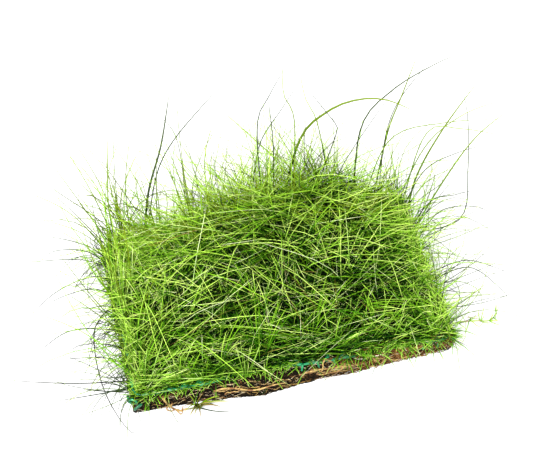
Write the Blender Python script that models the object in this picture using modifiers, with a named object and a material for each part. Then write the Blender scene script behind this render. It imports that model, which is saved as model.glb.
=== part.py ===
"""Dwarf hairgrass grown through a rectangle of plastic carrier net.

A flat mat of matted roots and dark substrate lies on the surface that it rests on. A moulded net covers it,
and small tufts of needle-like blades grow up from it through the net's openings. A few overgrown blades
stand and arch well clear of the rest, runners creep along the front edge, and one loose runner has come
away at the front left corner with a plantlet on its end.

Units are metres and +Z is up. The origin is the middle of the root mat's flat underside. +X runs along the
long edge of the mat, and -Y is the front edge, where the roots show.
"""

import math

import bmesh
import bpy
import numpy as np
from mathutils import Matrix, Vector, noise

MM = 0.001
GAP = 0.3 * MM
SEED = 20

# Finishes: base colour and roughness
ROOTS_FINISH = ((0.050, 0.028, 0.012), 0.95)
NET_FINISH = ((0.010, 0.300, 0.140), 0.45)
BLADE_FINISH = ((0.200, 0.480, 0.020), 0.50)
LONG_BLADE_FINISH = ((0.110, 0.260, 0.050), 0.50)
FRONT_RUNNER_FINISH = ((0.420, 0.230, 0.080), 0.60)
SIDE_RUNNER_FINISH = ((0.330, 0.480, 0.040), 0.55)

# Root mat
MAT_LENGTH = 127.0 * MM
MAT_WIDTH = 76.2 * MM
MAT_THICKNESS = 9.0 * MM
MAT_CUTS = (9, 5, 2)
MAT_ROUGHNESS = 0.8 * MM
MAT_DIP = 0.7 * MM
LUMP_SIZE = 17.0 * MM

# Front side of the root mat: its foot bulges forward left of the middle, and draws back towards the right end
BULGE_FORWARD = 2.9 * MM
BULGE_MIDDLE_X = -14.0 * MM
BULGE_REACH = 18.0 * MM
DRAWN_BACK = 2.6 * MM
DRAWN_BACK_FROM_X = 12.0 * MM
DRAWN_BACK_OVER = 48.0 * MM
BULGE_LEFT_AT_TOP = 0.25

# Carrier net
NET_PITCH = 12.7 * MM
NET_STRAND = 1.3 * MM
NET_COLUMNS = 10
NET_ROWS = 6
NET_BOTTOM = MAT_THICKNESS + GAP
NET_TOP = NET_BOTTOM + NET_STRAND

# Tufts: a crown in an opening of the net, with one lock of blades on each facet of its top
CROWN_SIDES = 7
CROWN_FOOT_RADIUS = 4.0 * MM
CROWN_TOP_RADIUS = 5.9 * MM
CROWN_HEIGHT = 2.6 * MM
CROWN_DOME = 2.4 * MM
CROWN_MIDDLE = 0.75 * CROWN_HEIGHT
LOCK_FOOT_RADIUS = 2.3 * MM
LOCK_STATIONS = (0.22, 0.48, 0.74)
LOCK_RADII = (2.0 * MM, 1.6 * MM, 1.0 * MM)
LOCK_TRIES = 150
LOCK_SMALLEST = 0.3
LOCK_THINNEST = 0.4
LOCK_RISE = (0.82, 1.12)
LOCK_SWING = math.radians(20)
LINE_CLEARANCE = 1.3 * GAP
FOOT_SAMPLES = 3

# How locks lean from upright: least, usual and most. Stray locks lean out over an edge of the mat.
LEAN_EDGE = (math.radians(6), math.radians(20), math.radians(60))
LEAN_INSIDE = (math.radians(6), math.radians(38), math.radians(60))
LEAN_STRAY = (math.radians(30), math.radians(56), math.radians(76))
STRAY_SHARE = 0.9
STRAY_FACING = 0.55
STRAY_THICKNESS = 0.6

# How far past the sides, the front and the back edge of the mat the tip of a lock may be
OVERHANG = (5.0 * MM, 4.0 * MM, 10.0 * MM)
OVERHANG_STRAY = (20.0 * MM, 4.0 * MM, 30.0 * MM)

# The arch of a blade: where it bends, as shares of its reach, its rise and its whole length
BEND_REACH = 0.25
BEND_RISE = 0.6
BEND_LEAST_RISE = 0.35

# Height of the dense grass over the net: an even level, then (rise, middle x, middle y, reach x, reach y)
GRASS_LEVEL = 24.0 * MM
GRASS_SWELLS = (
    (18.0 * MM, 15.0 * MM, 32.0 * MM, 27.0 * MM, 26.0 * MM),
    (-12.0 * MM, -50.0 * MM, 38.0 * MM, 24.0 * MM, 22.0 * MM),
    (-18.0 * MM, 66.0 * MM, 40.0 * MM, 16.0 * MM, 18.0 * MM),
)

# Long blades: the net opening they grow in, the corner of it that they keep to, and where the tip is
LONG_BLADE_RADII = (0.75 * MM, 0.75 * MM, 0.65 * MM, 0.5 * MM, 0.35 * MM)
LONG_BLADE_STATIONS = (0.08, 0.27, 0.46, 0.65, 0.84)
LONG_BLADE_SIDES = 3
LONG_BLADE_FOOT_RADIUS = 0.5 * MM
LONG_BLADE_FOOT_HEIGHT = 3.0 * MM
CORNER_OFFSET = 4.9 * MM
LONG_BLADES = (
    ((0, 1), (-1, 1), (-111 * MM, -15 * MM, 4 * MM)),
    ((0, 3), (-1, 1), (-98 * MM, 24 * MM, 26 * MM)),
    ((0, 5), (-1, 1), (-73 * MM, 60 * MM, 52 * MM)),
    ((2, 5), (1, 1), (-26 * MM, 78 * MM, 53 * MM)),
    ((5, 5), (1, 1), (23 * MM, 77 * MM, 58 * MM)),
    ((8, 5), (1, 1), (78 * MM, 72 * MM, 58 * MM)),
    ((9, 4), (1, 1), (99 * MM, 54 * MM, 55 * MM)),
    ((9, 3), (1, 1), (112 * MM, 48 * MM, 41 * MM)),
    ((9, 2), (1, -1), (93 * MM, -17 * MM, 15 * MM)),
)

# Runners
RUNNER_RADIUS = 0.75 * MM
LOOSE_RUNNER_RADIUS = 0.55 * MM
FRONT_RUNNER_CLEARANCE = 0.5 * MM
LOOSE_RUNNER_ROUTE = (
    (-52.6 * MM, -39.3 * MM, 9.9 * MM),
    (-51.9 * MM, -40.1 * MM, 7.0 * MM),
    (-50.7 * MM, -40.8 * MM, 4.0 * MM),
    (-48.7 * MM, -41.3 * MM, 1.6 * MM),
    (-46.0 * MM, -41.7 * MM, 0.65 * MM),
    (-42.5 * MM, -41.9 * MM, 0.6 * MM),
)
SIDE_RUNNER_ROUTE = (
    (65.3 * MM, -29.6 * MM, 6.6 * MM),
    (68.6 * MM, -30.4 * MM, 8.2 * MM),
    (73.0 * MM, -31.4 * MM, 8.6 * MM),
    (77.5 * MM, -31.6 * MM, 7.6 * MM),
    (81.2 * MM, -31.0 * MM, 5.9 * MM),
    (84.4 * MM, -28.6 * MM, 4.4 * MM),
    (86.4 * MM, -25.2 * MM, 3.3 * MM),
)
FRONT_RUNNER_POINTS = 9
FRONT_RUNNER_WANDER = 0.8 * MM
FRONT_RUNNER_TURNS = 9.0
FRONT_RUNNERS = (
    ("front_runner_left", (-33.0 * MM, -4.0 * MM), (6.2 * MM, 3.8 * MM)),
    ("front_runner_right", (1.0 * MM, 51.0 * MM), (6.8 * MM, 5.6 * MM)),
)

# Loose plantlet
PLANTLET_CENTRE = (-40.0 * MM, -41.8 * MM)
PLANTLET_RADIUS = 2.0 * MM
PLANTLET_HEIGHT = 1.2 * MM
PLANTLET_DOME = 0.8 * MM
PLANTLET_SIDES = 6
PLANTLET_RADII = (0.7 * MM, 0.55 * MM, 0.4 * MM)
PLANTLET_TIPS = (
    (-29.5 * MM, -44.2 * MM, 3.4 * MM),
    (-34.6 * MM, -44.6 * MM, 7.5 * MM),
    (-41.0 * MM, -47.5 * MM, 6.0 * MM),
    (-46.5 * MM, -46.2 * MM, 5.5 * MM),
    (-42.2 * MM, -43.2 * MM, 9.5 * MM),
    (-35.2 * MM, -42.6 * MM, 6.5 * MM),
)


def material(name, colour, roughness):
    """A plain dielectric finish in the piece's own colour."""
    made = bpy.data.materials.new(name)
    made.use_nodes = True
    made.diffuse_color = (*colour, 1.0)
    shader = made.node_tree.nodes["Principled BSDF"]
    shader.inputs["Base Color"].default_value = (*colour, 1.0)
    shader.inputs["Roughness"].default_value = roughness
    shader.inputs["Metallic"].default_value = 0.0
    return made


def mesh_object(name, bm, finish, collection):
    """Turns a finished bmesh into a named object in the hairgrass collection."""
    bmesh.ops.recalc_face_normals(bm, faces=bm.faces)
    mesh = bpy.data.meshes.new(name)
    bm.to_mesh(mesh)
    bm.free()
    mesh.materials.append(finish)
    made = bpy.data.objects.new(name, mesh)
    collection.objects.link(made)
    return made


def lump(x, y, z):
    """A smooth, repeatable unevenness from -1 to 1."""
    return noise.noise(Vector((x, y, z)) / LUMP_SIZE)


def front_bulge(x):
    """How far the foot of the front side stands out past the net: forward left of the middle, back at right."""
    forward = BULGE_FORWARD * math.exp(-(((x - BULGE_MIDDLE_X) / BULGE_REACH) ** 2))
    share = min(max((x - DRAWN_BACK_FROM_X) / DRAWN_BACK_OVER, 0.0), 1.0)
    return forward - DRAWN_BACK * share


def front_face_y(x, z):
    """The front side of the root mat, which slopes out to its foot."""
    slope = 1.0 - (1.0 - BULGE_LEFT_AT_TOP) * z / MAT_THICKNESS
    return -MAT_WIDTH / 2 - front_bulge(x) * slope + MAT_ROUGHNESS * lump(x, 0.0, z)


def build_root_mat(finish, collection):
    """The slab of roots and substrate: flat underneath, ragged round the sides and slightly dipped on top."""
    bm = bmesh.new()
    bmesh.ops.create_cube(bm, size=1)
    bmesh.ops.scale(bm, vec=(MAT_LENGTH, MAT_WIDTH, MAT_THICKNESS), verts=bm.verts)
    bmesh.ops.translate(bm, vec=(0, 0, MAT_THICKNESS / 2), verts=bm.verts)
    for axis, cuts in enumerate(MAT_CUTS):
        along = [
            edge
            for edge in bm.edges
            if abs((edge.verts[0].co - edge.verts[1].co).normalized()[axis]) > 0.5
        ]
        bmesh.ops.subdivide_edges(bm, edges=along, cuts=cuts, use_grid_fill=True)
    for vert in bm.verts:
        x, y, z = vert.co
        if abs(x) > MAT_LENGTH / 2 - GAP:
            vert.co.x = x + MAT_ROUGHNESS * lump(x, y, z)
        if y > MAT_WIDTH / 2 - GAP:
            vert.co.y = y + MAT_ROUGHNESS * lump(x, y, z)
        if y < -MAT_WIDTH / 2 + GAP:
            vert.co.y = front_face_y(x, z)
        if z > MAT_THICKNESS - GAP:
            vert.co.z = z - MAT_DIP * abs(lump(x, y, z))
    underside = [face for face in bm.faces if face.calc_center_median().z < GAP]
    bmesh.ops.dissolve_faces(bm, faces=underside)
    return mesh_object("root_mat", bm, finish, collection)


def build_net(finish, collection):
    """The moulded carrier net, a flat grid of strands that lies on the root mat."""
    bm = bmesh.new()
    bmesh.ops.create_grid(bm, x_segments=NET_COLUMNS, y_segments=NET_ROWS, size=0.5)
    spread = (MAT_LENGTH - NET_STRAND, MAT_WIDTH - NET_STRAND, 1.0)
    bmesh.ops.scale(bm, vec=spread, verts=bm.verts)
    made = mesh_object("carrier_net", bm, finish, collection)
    made.location.z = NET_BOTTOM + NET_STRAND / 2
    strands = made.modifiers.new("strands", "WIREFRAME")
    strands.thickness = NET_STRAND
    strands.use_boundary = True
    strands.use_replace = True
    strands.use_even_offset = False
    return made


def grass_height(x, y):
    """Height of the dense grass over the net at a place on the mat."""
    height = GRASS_LEVEL
    for rise, middle_x, middle_y, reach_x, reach_y in GRASS_SWELLS:
        away = ((x - middle_x) / reach_x) ** 2 + ((y - middle_y) / reach_y) ** 2
        height += rise * math.exp(-away)
    return height


def arch(foot, tip, shares):
    """Points on the arch that a blade makes: steep at its foot, then leaning over towards its tip."""
    reach = tip - foot
    rise = max(BEND_RISE * reach.z, BEND_LEAST_RISE * reach.length)
    bend = foot + Vector((BEND_REACH * reach.x, BEND_REACH * reach.y, rise))
    return [foot.lerp(bend, share).lerp(bend.lerp(tip, share), share) for share in shares]


def grow(bm, face, path, radii):
    """Draws a facet out through the path's points into a tapering blade that ends in a point."""
    for place, radius in enumerate(radii):
        face = bmesh.ops.extrude_discrete_faces(bm, faces=[face])["faces"][0]
        face.normal_update()
        centre = face.calc_center_median()
        size = sum((vert.co - centre).length for vert in face.verts) / len(face.verts)
        heading = path[place + 1] - (path[place - 1] if place else centre)
        turn = face.normal.rotation_difference(heading).to_matrix().to_4x4()
        shift = Matrix.Translation(path[place]) @ turn @ Matrix.Scale(radius / size, 4)
        matrix = shift @ Matrix.Translation(-centre)
        bmesh.ops.transform(bm, matrix=matrix, verts=face.verts)
    face = bmesh.ops.extrude_discrete_faces(bm, faces=[face])["faces"][0]
    bmesh.ops.pointmerge(bm, verts=list(face.verts), merge_co=path[-1])


class Thicket:
    """The middle lines of everything grown so far, so that the next blade can stay clear of them."""

    SAMPLES = 22
    OWN_START = 0.3
    WIDEST = 2 * CROWN_TOP_RADIUS

    def __init__(self):
        self.points = np.empty((0, 3))
        self.radii = np.empty(0)
        self.shares = np.empty(0)
        self.owners = np.empty(0, int)

    def line(self, points, radii, shares):
        """Evenly spaced samples along a bent line, with the radius at each."""
        at = np.linspace(0.0, 1.0, self.SAMPLES)
        corners = np.array(points)
        sampled = np.stack([np.interp(at, shares, corners[:, k]) for k in range(3)], axis=1)
        return sampled, np.interp(at, shares, radii), at

    def add(self, sampled, radii, shares, owner):
        self.points = np.vstack([self.points, sampled])
        self.radii = np.concatenate([self.radii, radii])
        self.shares = np.concatenate([self.shares, shares])
        self.owners = np.concatenate([self.owners, np.full(len(radii), owner)])

    def has_room(self, sampled, radii, shares, owner):
        """Whether a new line keeps its distance from all the lines so far, its own tuft's feet apart."""
        middle = sampled.mean(axis=0)
        reach = np.linalg.norm(sampled - middle, axis=1).max() + self.WIDEST
        near = np.linalg.norm(self.points - middle, axis=1) < reach
        apart = np.linalg.norm(sampled[:, None] - self.points[near][None], axis=2)
        needed = radii[:, None] + self.radii[near][None] + LINE_CLEARANCE
        both_free = (shares[:, None] > self.OWN_START) & (self.shares[near][None] > self.OWN_START)
        ignored = (self.owners[near][None] == owner) & ~both_free
        return bool(((apart > needed) | ignored).all())


def clears_mat(sampled, radii):
    """Whether a line, from a little above its foot, keeps above the net, or above the surface past the mat."""
    over_mat = (np.abs(sampled[:, 0]) < MAT_LENGTH / 2 + MM) & (
        np.abs(sampled[:, 1]) < MAT_WIDTH / 2 + MM
    )
    floor = np.where(over_mat, NET_TOP + GAP, GAP)
    return bool((sampled[:, 2] - radii > floor)[FOOT_SAMPLES:].all())


def opening_centre(column, row):
    """The middle of one opening of the net, in plan."""
    x = (column - (NET_COLUMNS - 1) / 2) * NET_PITCH
    y = (row - (NET_ROWS - 1) / 2) * NET_PITCH
    return x, y


def at_edge(column, row):
    """Whether an opening is in the outermost ring of the net."""
    return column in (0, NET_COLUMNS - 1) or row in (0, NET_ROWS - 1)


def tuft_openings():
    """The openings that hold a tuft: all those round the edge, and every second one inside."""
    everywhere = [(column, row) for row in range(NET_ROWS) for column in range(NET_COLUMNS)]
    return [place for place in everywhere if at_edge(*place) or sum(place) % 2 == 0]


def crown(bm, centre, foot_radius, top_radius, height, dome, sides, turn):
    """The short stump that a plant's blades grow from. Returns the facets of its domed top, in order."""
    bmesh.ops.create_cone(
        bm,
        cap_ends=True,
        cap_tris=True,
        segments=sides,
        radius1=foot_radius,
        radius2=top_radius,
        depth=height,
    )
    top = [vert for vert in bm.verts if vert.co.z > 0]
    peak = min(top, key=lambda vert: vert.co.xy.length)
    peak.co.z += dome
    bmesh.ops.rotate(bm, matrix=Matrix.Rotation(turn, 3, "Z"), verts=bm.verts)
    bmesh.ops.translate(bm, vec=Vector(centre) + Vector((0, 0, height / 2)), verts=bm.verts)
    bmesh.ops.recalc_face_normals(bm, faces=bm.faces)
    facets = list(peak.link_faces)
    middle = peak.co.xy
    return sorted(facets, key=lambda face: math.atan2(*(face.calc_center_median().xy - middle)))


def build_long_blade(name, opening, corner, tip, thicket, owner, finish, collection):
    """One overgrown blade, from the corner of an opening out to its tip."""
    x, y = opening_centre(*opening)
    foot = Vector((x + corner[0] * CORNER_OFFSET, y + corner[1] * CORNER_OFFSET, NET_BOTTOM))
    bm = bmesh.new()
    bmesh.ops.create_cone(
        bm,
        cap_ends=True,
        segments=LONG_BLADE_SIDES,
        radius1=LONG_BLADE_FOOT_RADIUS,
        radius2=LONG_BLADE_FOOT_RADIUS,
        depth=LONG_BLADE_FOOT_HEIGHT,
    )
    lift = Vector((0, 0, LONG_BLADE_FOOT_HEIGHT / 2))
    bmesh.ops.translate(bm, vec=foot + lift, verts=bm.verts)
    start = foot + 2 * lift
    top = max(bm.faces, key=lambda face: face.calc_center_median().z)
    path = arch(start, Vector(tip), LONG_BLADE_STATIONS + (1.0,))
    grow(bm, top, path, LONG_BLADE_RADII)
    shares = (0.0,) + LONG_BLADE_STATIONS + (1.0,)
    radii = (LONG_BLADE_FOOT_RADIUS,) + LONG_BLADE_RADII + (0.0,)
    thicket.add(*thicket.line([start] + path, radii, shares), owner)
    return mesh_object(name, bm, finish, collection)


def inside_overhang(tip, overhang):
    """Whether a lock's tip stays over the mat, or only so far past its sides, its front and its back."""
    side, front, back = overhang
    in_length = abs(tip.x) < MAT_LENGTH / 2 + side
    return in_length and -MAT_WIDTH / 2 - front < tip.y < MAT_WIDTH / 2 + back


def way_out(column, row):
    """The direction in plan from an opening out past the nearest side or back edge. None if there is none."""
    out = Vector(((column == NET_COLUMNS - 1) - (column == 0), row == NET_ROWS - 1))
    return out.normalized() if out.length else None


def choose_lock(foot, facing, lean_range, overhang, thickness, thicket, owner, rng):
    """A path and its radii for one lock that has room, smaller at each try. None where nothing fits."""
    level = grass_height(foot.x, foot.y)
    stations = LOCK_STATIONS + (1.0,)
    shares = (0.0,) + stations
    for attempt in range(LOCK_TRIES):
        smaller = 1.0 - (1.0 - LOCK_SMALLEST) * attempt / LOCK_TRIES
        heading = facing + rng.normal(0.0, LOCK_SWING)
        lean = rng.triangular(*lean_range)
        rise = level * rng.uniform(*LOCK_RISE) * smaller * math.sqrt(math.cos(lean))
        travel = rise * math.tan(lean)
        tip = foot + Vector((travel * math.cos(heading), travel * math.sin(heading), rise))
        if not inside_overhang(tip, overhang):
            continue
        path = arch(foot, tip, stations)
        thinner = thickness * (LOCK_THINNEST + (1.0 - LOCK_THINNEST) * smaller)
        radii = [radius * thinner for radius in LOCK_RADII]
        sampled = thicket.line([foot] + path, [LOCK_FOOT_RADIUS] + radii + [0.0], shares)
        if clears_mat(*sampled[:2]) and thicket.has_room(*sampled, owner):
            thicket.add(*sampled, owner)
            return path, radii
    return None


def build_tuft(name, opening, thicket, owner, rng, finish, collection):
    """One plant of the mat: a crown standing in an opening, with a lock of blades on each facet."""
    x, y = opening_centre(*opening)
    bm = bmesh.new()
    turn = rng.uniform(0.0, 2 * math.pi)
    facets = crown(
        bm,
        (x, y, NET_BOTTOM),
        CROWN_FOOT_RADIUS,
        CROWN_TOP_RADIUS,
        CROWN_HEIGHT,
        CROWN_DOME,
        CROWN_SIDES,
        turn,
    )
    out = way_out(*opening)
    for facet in facets:
        foot = facet.calc_center_median()
        outward = (foot.xy - Vector((x, y))).normalized()
        manner = (LEAN_EDGE if at_edge(*opening) else LEAN_INSIDE, OVERHANG, 1.0)
        if out and outward.dot(out) > STRAY_FACING and rng.random() < STRAY_SHARE:
            manner = (LEAN_STRAY, OVERHANG_STRAY, STRAY_THICKNESS)
        lock = choose_lock(foot, math.atan2(outward.y, outward.x), *manner, thicket, owner, rng)
        if lock:
            grow(bm, facet, *lock)
    return mesh_object(name, bm, finish, collection)


def build_grass(blade_finish, long_finish, collection):
    """All the long blades, then all the tufts, each clear of the ones before it."""
    thicket = Thicket()
    rng = np.random.default_rng(SEED)
    openings = tuft_openings()
    for owner, opening in enumerate(openings):
        x, y = opening_centre(*opening)
        middle = np.array([[x, y, NET_BOTTOM + CROWN_MIDDLE]])
        thicket.add(middle, np.array([CROWN_FOOT_RADIUS]), np.zeros(1), owner)
    for number, (opening, corner, tip) in enumerate(LONG_BLADES, start=1):
        name = f"long_blade_{number}"
        owner = len(openings) + number
        build_long_blade(name, opening, corner, tip, thicket, owner, long_finish, collection)
    for owner in rng.permutation(len(openings)):
        name = f"tuft_{owner + 1:02d}"
        build_tuft(name, openings[owner], thicket, owner, rng, blade_finish, collection)


def build_plantlet(finish, collection):
    """The small plant on the end of the loose runner, lying on the surface."""
    bm = bmesh.new()
    centre = (*PLANTLET_CENTRE, 0.0)
    facets = crown(
        bm,
        centre,
        PLANTLET_RADIUS,
        PLANTLET_RADIUS,
        PLANTLET_HEIGHT,
        PLANTLET_DOME,
        PLANTLET_SIDES,
        0.0,
    )
    tips = [Vector(tip) for tip in PLANTLET_TIPS]
    for facet in facets:
        foot = facet.calc_center_median()
        outward = (foot.xy - Vector(PLANTLET_CENTRE)).normalized()
        tip = max(tips, key=lambda point: (point.xy - foot.xy).normalized().dot(outward))
        tips.remove(tip)
        grow(bm, facet, arch(foot, tip, LOCK_STATIONS + (1.0,)), PLANTLET_RADII)
    return mesh_object("loose_plantlet", bm, finish, collection)


def build_runner(name, route, radius, finish, collection):
    """A creeping stem: a round tube along its route, with closed ends."""
    curve = bpy.data.curves.new(name, "CURVE")
    curve.dimensions = "3D"
    curve.bevel_depth = radius
    curve.bevel_resolution = 1
    curve.use_fill_caps = True
    spline = curve.splines.new("POLY")
    spline.points.add(len(route) - 1)
    for point, place in zip(spline.points, route):
        point.co = (*place, 1.0)
    curve.materials.append(finish)
    made = bpy.data.objects.new(name, curve)
    collection.objects.link(made)
    return made


def front_runner_route(span, heights):
    """A route along the front side of the root mat, just clear of it, that wanders a little up and down."""
    route = []
    for share in np.linspace(0.0, 1.0, FRONT_RUNNER_POINTS):
        x = span[0] + (span[1] - span[0]) * share
        z = heights[0] + (heights[1] - heights[0]) * share
        z += FRONT_RUNNER_WANDER * math.sin(FRONT_RUNNER_TURNS * share)
        y = front_face_y(x, z) - RUNNER_RADIUS - FRONT_RUNNER_CLEARANCE
        route.append((x, y, z))
    return route


def build_runners(tan, green, collection):
    """The runners along the front edge, the one out to the side, and the loose one on the surface."""
    for name, span, heights in FRONT_RUNNERS:
        build_runner(name, front_runner_route(span, heights), RUNNER_RADIUS, tan, collection)
    build_runner("side_runner", SIDE_RUNNER_ROUTE, RUNNER_RADIUS, green, collection)
    build_runner("loose_runner", LOOSE_RUNNER_ROUTE, LOOSE_RUNNER_RADIUS, tan, collection)


def main():
    for old in list(bpy.data.objects):
        bpy.data.objects.remove(old)
    collection = bpy.data.collections.new("dwarf_hairgrass")
    bpy.context.scene.collection.children.link(collection)
    soil = material("matted_roots", *ROOTS_FINISH)
    net = material("net_green", *NET_FINISH)
    blade = material("blade_green", *BLADE_FINISH)
    long_blade = material("long_blade_green", *LONG_BLADE_FINISH)
    tan = material("runner_tan", *FRONT_RUNNER_FINISH)
    lime = material("runner_green", *SIDE_RUNNER_FINISH)
    build_root_mat(soil, collection)
    build_net(net, collection)
    build_grass(blade, long_blade, collection)
    build_runners(tan, lime, collection)
    build_plantlet(blade, collection)


if __name__ == "__main__":
    main()
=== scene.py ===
"""Looks for a mat of dwarf hairgrass grown through a plastic carrier net.

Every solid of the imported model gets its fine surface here: thousands of needle blades in place of the
locks of each tuft, the overgrown blades and thin wisps round them, the net at its real pitch, the matted
roots with their fibres, the runners with their nodes, and the loose plantlet. Units are metres, +Z is up.
"""

import math
from collections import namedtuple

import bmesh
import bpy
import numpy as np
from mathutils import Matrix, Vector, noise
from mathutils.bvhtree import BVHTree


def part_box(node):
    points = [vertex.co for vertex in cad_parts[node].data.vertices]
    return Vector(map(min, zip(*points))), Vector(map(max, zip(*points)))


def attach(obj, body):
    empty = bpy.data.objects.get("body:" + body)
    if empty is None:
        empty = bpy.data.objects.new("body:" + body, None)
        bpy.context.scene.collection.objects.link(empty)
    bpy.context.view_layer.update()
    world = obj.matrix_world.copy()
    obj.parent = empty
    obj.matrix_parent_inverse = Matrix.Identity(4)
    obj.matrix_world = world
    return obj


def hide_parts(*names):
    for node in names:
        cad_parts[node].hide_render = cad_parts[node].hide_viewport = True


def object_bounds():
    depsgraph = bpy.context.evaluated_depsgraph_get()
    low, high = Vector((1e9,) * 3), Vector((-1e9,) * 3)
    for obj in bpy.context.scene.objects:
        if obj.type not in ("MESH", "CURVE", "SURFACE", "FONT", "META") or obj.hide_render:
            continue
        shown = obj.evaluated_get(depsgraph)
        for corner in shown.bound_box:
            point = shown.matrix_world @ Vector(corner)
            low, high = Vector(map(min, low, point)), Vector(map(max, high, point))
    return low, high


bl_info = {
    "name": "Dwarf hairgrass mat",
    "version": (1, 0, 0),
    "blender": (4, 5, 0),
    "location": "3D View > Sidebar > Hairgrass",
    "description": "Fine blades, carrier net, matted roots and runners for the dwarf hairgrass mat",
    "category": "Add Mesh",
}

MM = 0.001
SEED = 7
BODY = "root"
STRAND_UV = "OFBake"
MERGE = 0.01 * MM
SURFACE = 0.15 * MM

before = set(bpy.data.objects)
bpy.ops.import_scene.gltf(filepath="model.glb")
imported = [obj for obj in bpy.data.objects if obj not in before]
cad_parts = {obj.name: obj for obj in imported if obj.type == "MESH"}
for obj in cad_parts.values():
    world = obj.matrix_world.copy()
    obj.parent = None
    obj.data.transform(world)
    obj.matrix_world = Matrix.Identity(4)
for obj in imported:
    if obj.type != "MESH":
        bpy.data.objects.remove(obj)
cad_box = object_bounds()
MAT_LOW, MAT_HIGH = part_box("root_mat")
NET_LOW, NET_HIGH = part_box("carrier_net")

# Camera at the photo's viewing angle, and the lamps: name, place and size
CAMERA_TARGET = Vector((6.1 * MM, 24.8 * MM, 20.0 * MM))
CAMERA_DISTANCE = 622.5 * MM
CAMERA_AZIMUTH = math.radians(-12.97)
CAMERA_ELEVATION = math.radians(49.57)
CAMERA_LENS = 100.0
LAMPS = (("key", (-0.34, -0.42, 0.85), 0.45), ("fill", (0.30, 0.55, 0.70), 0.60))

# How a strand is laid out in the tint map: its tint across, its length up, on blades mostly replaced by
# their painted light and shade, and the cap of its foot at the bottom
TINT_MARGIN = 0.03
STRAND_WIDTH_IN_MAP = 0.02
CAP_WIDTH_IN_MAP = 0.3
CAP_HEIGHT_IN_MAP = 0.004
ON_AXIS = 0.1

# Shape of a strand: sides and rings of a blade, an overgrown blade and a runner, then the powers and the
# radius that it tapers to its tip with. OFF_AXIS is a direction that no strand starts along, and
# SPAN_SAMPLES the steps between two points of a route.
BLADE_SIDES, BLADE_RINGS = 3, 7
LONG_SIDES, LONG_RINGS = 5, 20
RUNNER_SIDES, RUNNER_RINGS = 7, 40
TAPER_START, TAPER_END = 2.4, 0.7
TIP_RADIUS = 0.02 * MM
OFF_AXIS = (0.48, 0.31, 0.82)
SPAN_SAMPLES = 16

# Where blades stand: how deep their feet are, how far from the middle of a tuft, and in what clumps
FOOT_DEPTH = 1.2 * MM
EDGE_CELL = 6.3 * MM
INNER_CELL = 9.0 * MM
CLUMP_SPREAD = 0.9 * MM
BLADES_IN_CLUMP = 14
WALL_DEPTH = 1.2 * MM
FRONT_MARGIN = 1.0 * MM
OPEN_FRONT_FROM = -6.0 * MM
OPEN_FRONT_MARGIN = 2.6 * MM

# How a blade bends: where along it the bend starts, how much of it that takes, and how far it turns
# sideways
BEND_START = 0.05
BEND_LENGTH = 0.70
TWIST = 0.18
WISP_TWIST = 1.60

# The dense grass: its height is read from the locks of the tufts near a place. It is lower along the front
# and the right edge, by a share that the slope brings back inwards. A crown's corners lie within CROWN_RING
# of its lowest one, and LOCK_SIDES faces meet at the tip of a lock. Strands reach at most ROOM_OUTSIDE past
# the CAD box.
CROWN_RING = 0.1 * MM
LOCK_SIDES = 3
CANOPY_REACH = 9.0 * MM
FAR_WEIGHT = 1e-9
LONGEST_BLADE = 66.0 * MM
USUAL_HEIGHT = 28.0 * MM
DENSE_QUANTILE = 0.8
FRONT_HEIGHT, FRONT_SLOPE = 0.5, 20.0 * MM
RIGHT_HEIGHT, RIGHT_SLOPE = 0.65, 16.0 * MM
ROOM_OUTSIDE = 7.0 * MM

# How far blades may lean out past each edge. At the right and the back that changes along the edge, and the
# pairs give places and overhangs in millimetres. Most of those past it are turned to a share of their
# reach, and within the width of a corner they run inwards from it.
LEFT_OVERHANG = 2.0 * MM
FRONT_OVERHANG = 2.0 * MM
RIGHT_OVERHANG = ((-15, 4), (5, -3))
BACK_OVERHANG = ((-60, 4), (-40, 5), (-30, 15), (0, 18), (10, 24), (25, 22), (42, 16), (50, 4), (60, 0))
KEPT_INSIDE = 0.95
TURNED_BACK = (-1.0, 0.1)
CORNER = 14.0 * MM

# How the painted light falls off into the thicket: how deep it gets in from the top and from the sides,
# what the sides let in, how much of a blade's painted shade follows its own length, and how the lifts of
# blades of one habit vary
LIGHT_DEPTH = 26.0 * MM
EDGE_LIGHT_DEPTH = 3.0 * MM
EDGE_LIGHT = 0.40
SHARE_ALONG = 0.12
LIFT_SPREAD = 0.08

# Blades that follow the tuft's own locks: their share of it, how far their tips go from one lock's towards
# the next and how far they stray from it, where they bend, and their thickness, tint and lift
FOLLOWERS = 0.05
BETWEEN_LOCKS = (0.0, 0.6)
LOCK_STRAY = (4.0 * MM, 4.0 * MM, 2.2 * MM)
LOCK_BEND = (0.1, 0.4)
LOCK_BEND_HEIGHT = (0.55, 0.95)
FOLLOWER_RADIUS = (0.8, 1.2)
FOLLOWER_TINT = (0.46, 0.12)
FOLLOWER_LIFT = (0.0, 0.3)

# Blades whose tips stand near the sides or the back get young, bright tints and more light, which paints
# the backlight there: how far in that goes, how far they are lifted towards the light at the least, their
# tints, and the share of those at the back that are dry instead
BACKLIT_DEPTH = 5.0 * MM
BACKLIT_DEPTH_BACK = 14.0 * MM
BACKLIT_LIFT = (0.65, 1.0)
BACKLIT_TINTS = (0.54, 0.60, 0.64, 0.70)
BACKLIT_SPREAD = 0.02
DRY_SHARE = 0.3

# Overgrown blades are drawn thicker than their radius in the table by this factor
STRAY_GROWTH = 1.40

# Roots: the slab's cuts along x, y and z, and its lumps: their sizes, then in millimetres how much the
# coarse and the fine ones raise it, how deep it lies below the CAD slab, and the most that it stands out
SLAB_CUTS = (127, 79, 9)
COARSE_LUMP = 5 * MM
FINE_LUMP = (2.6, 2.6, 1.1)
COARSE_RAISE, FINE_RAISE, SUNK, PROUD = 1.1, 0.6, 0.6, 0.25
UNDERSIDE_RAISE = 0.3

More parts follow.
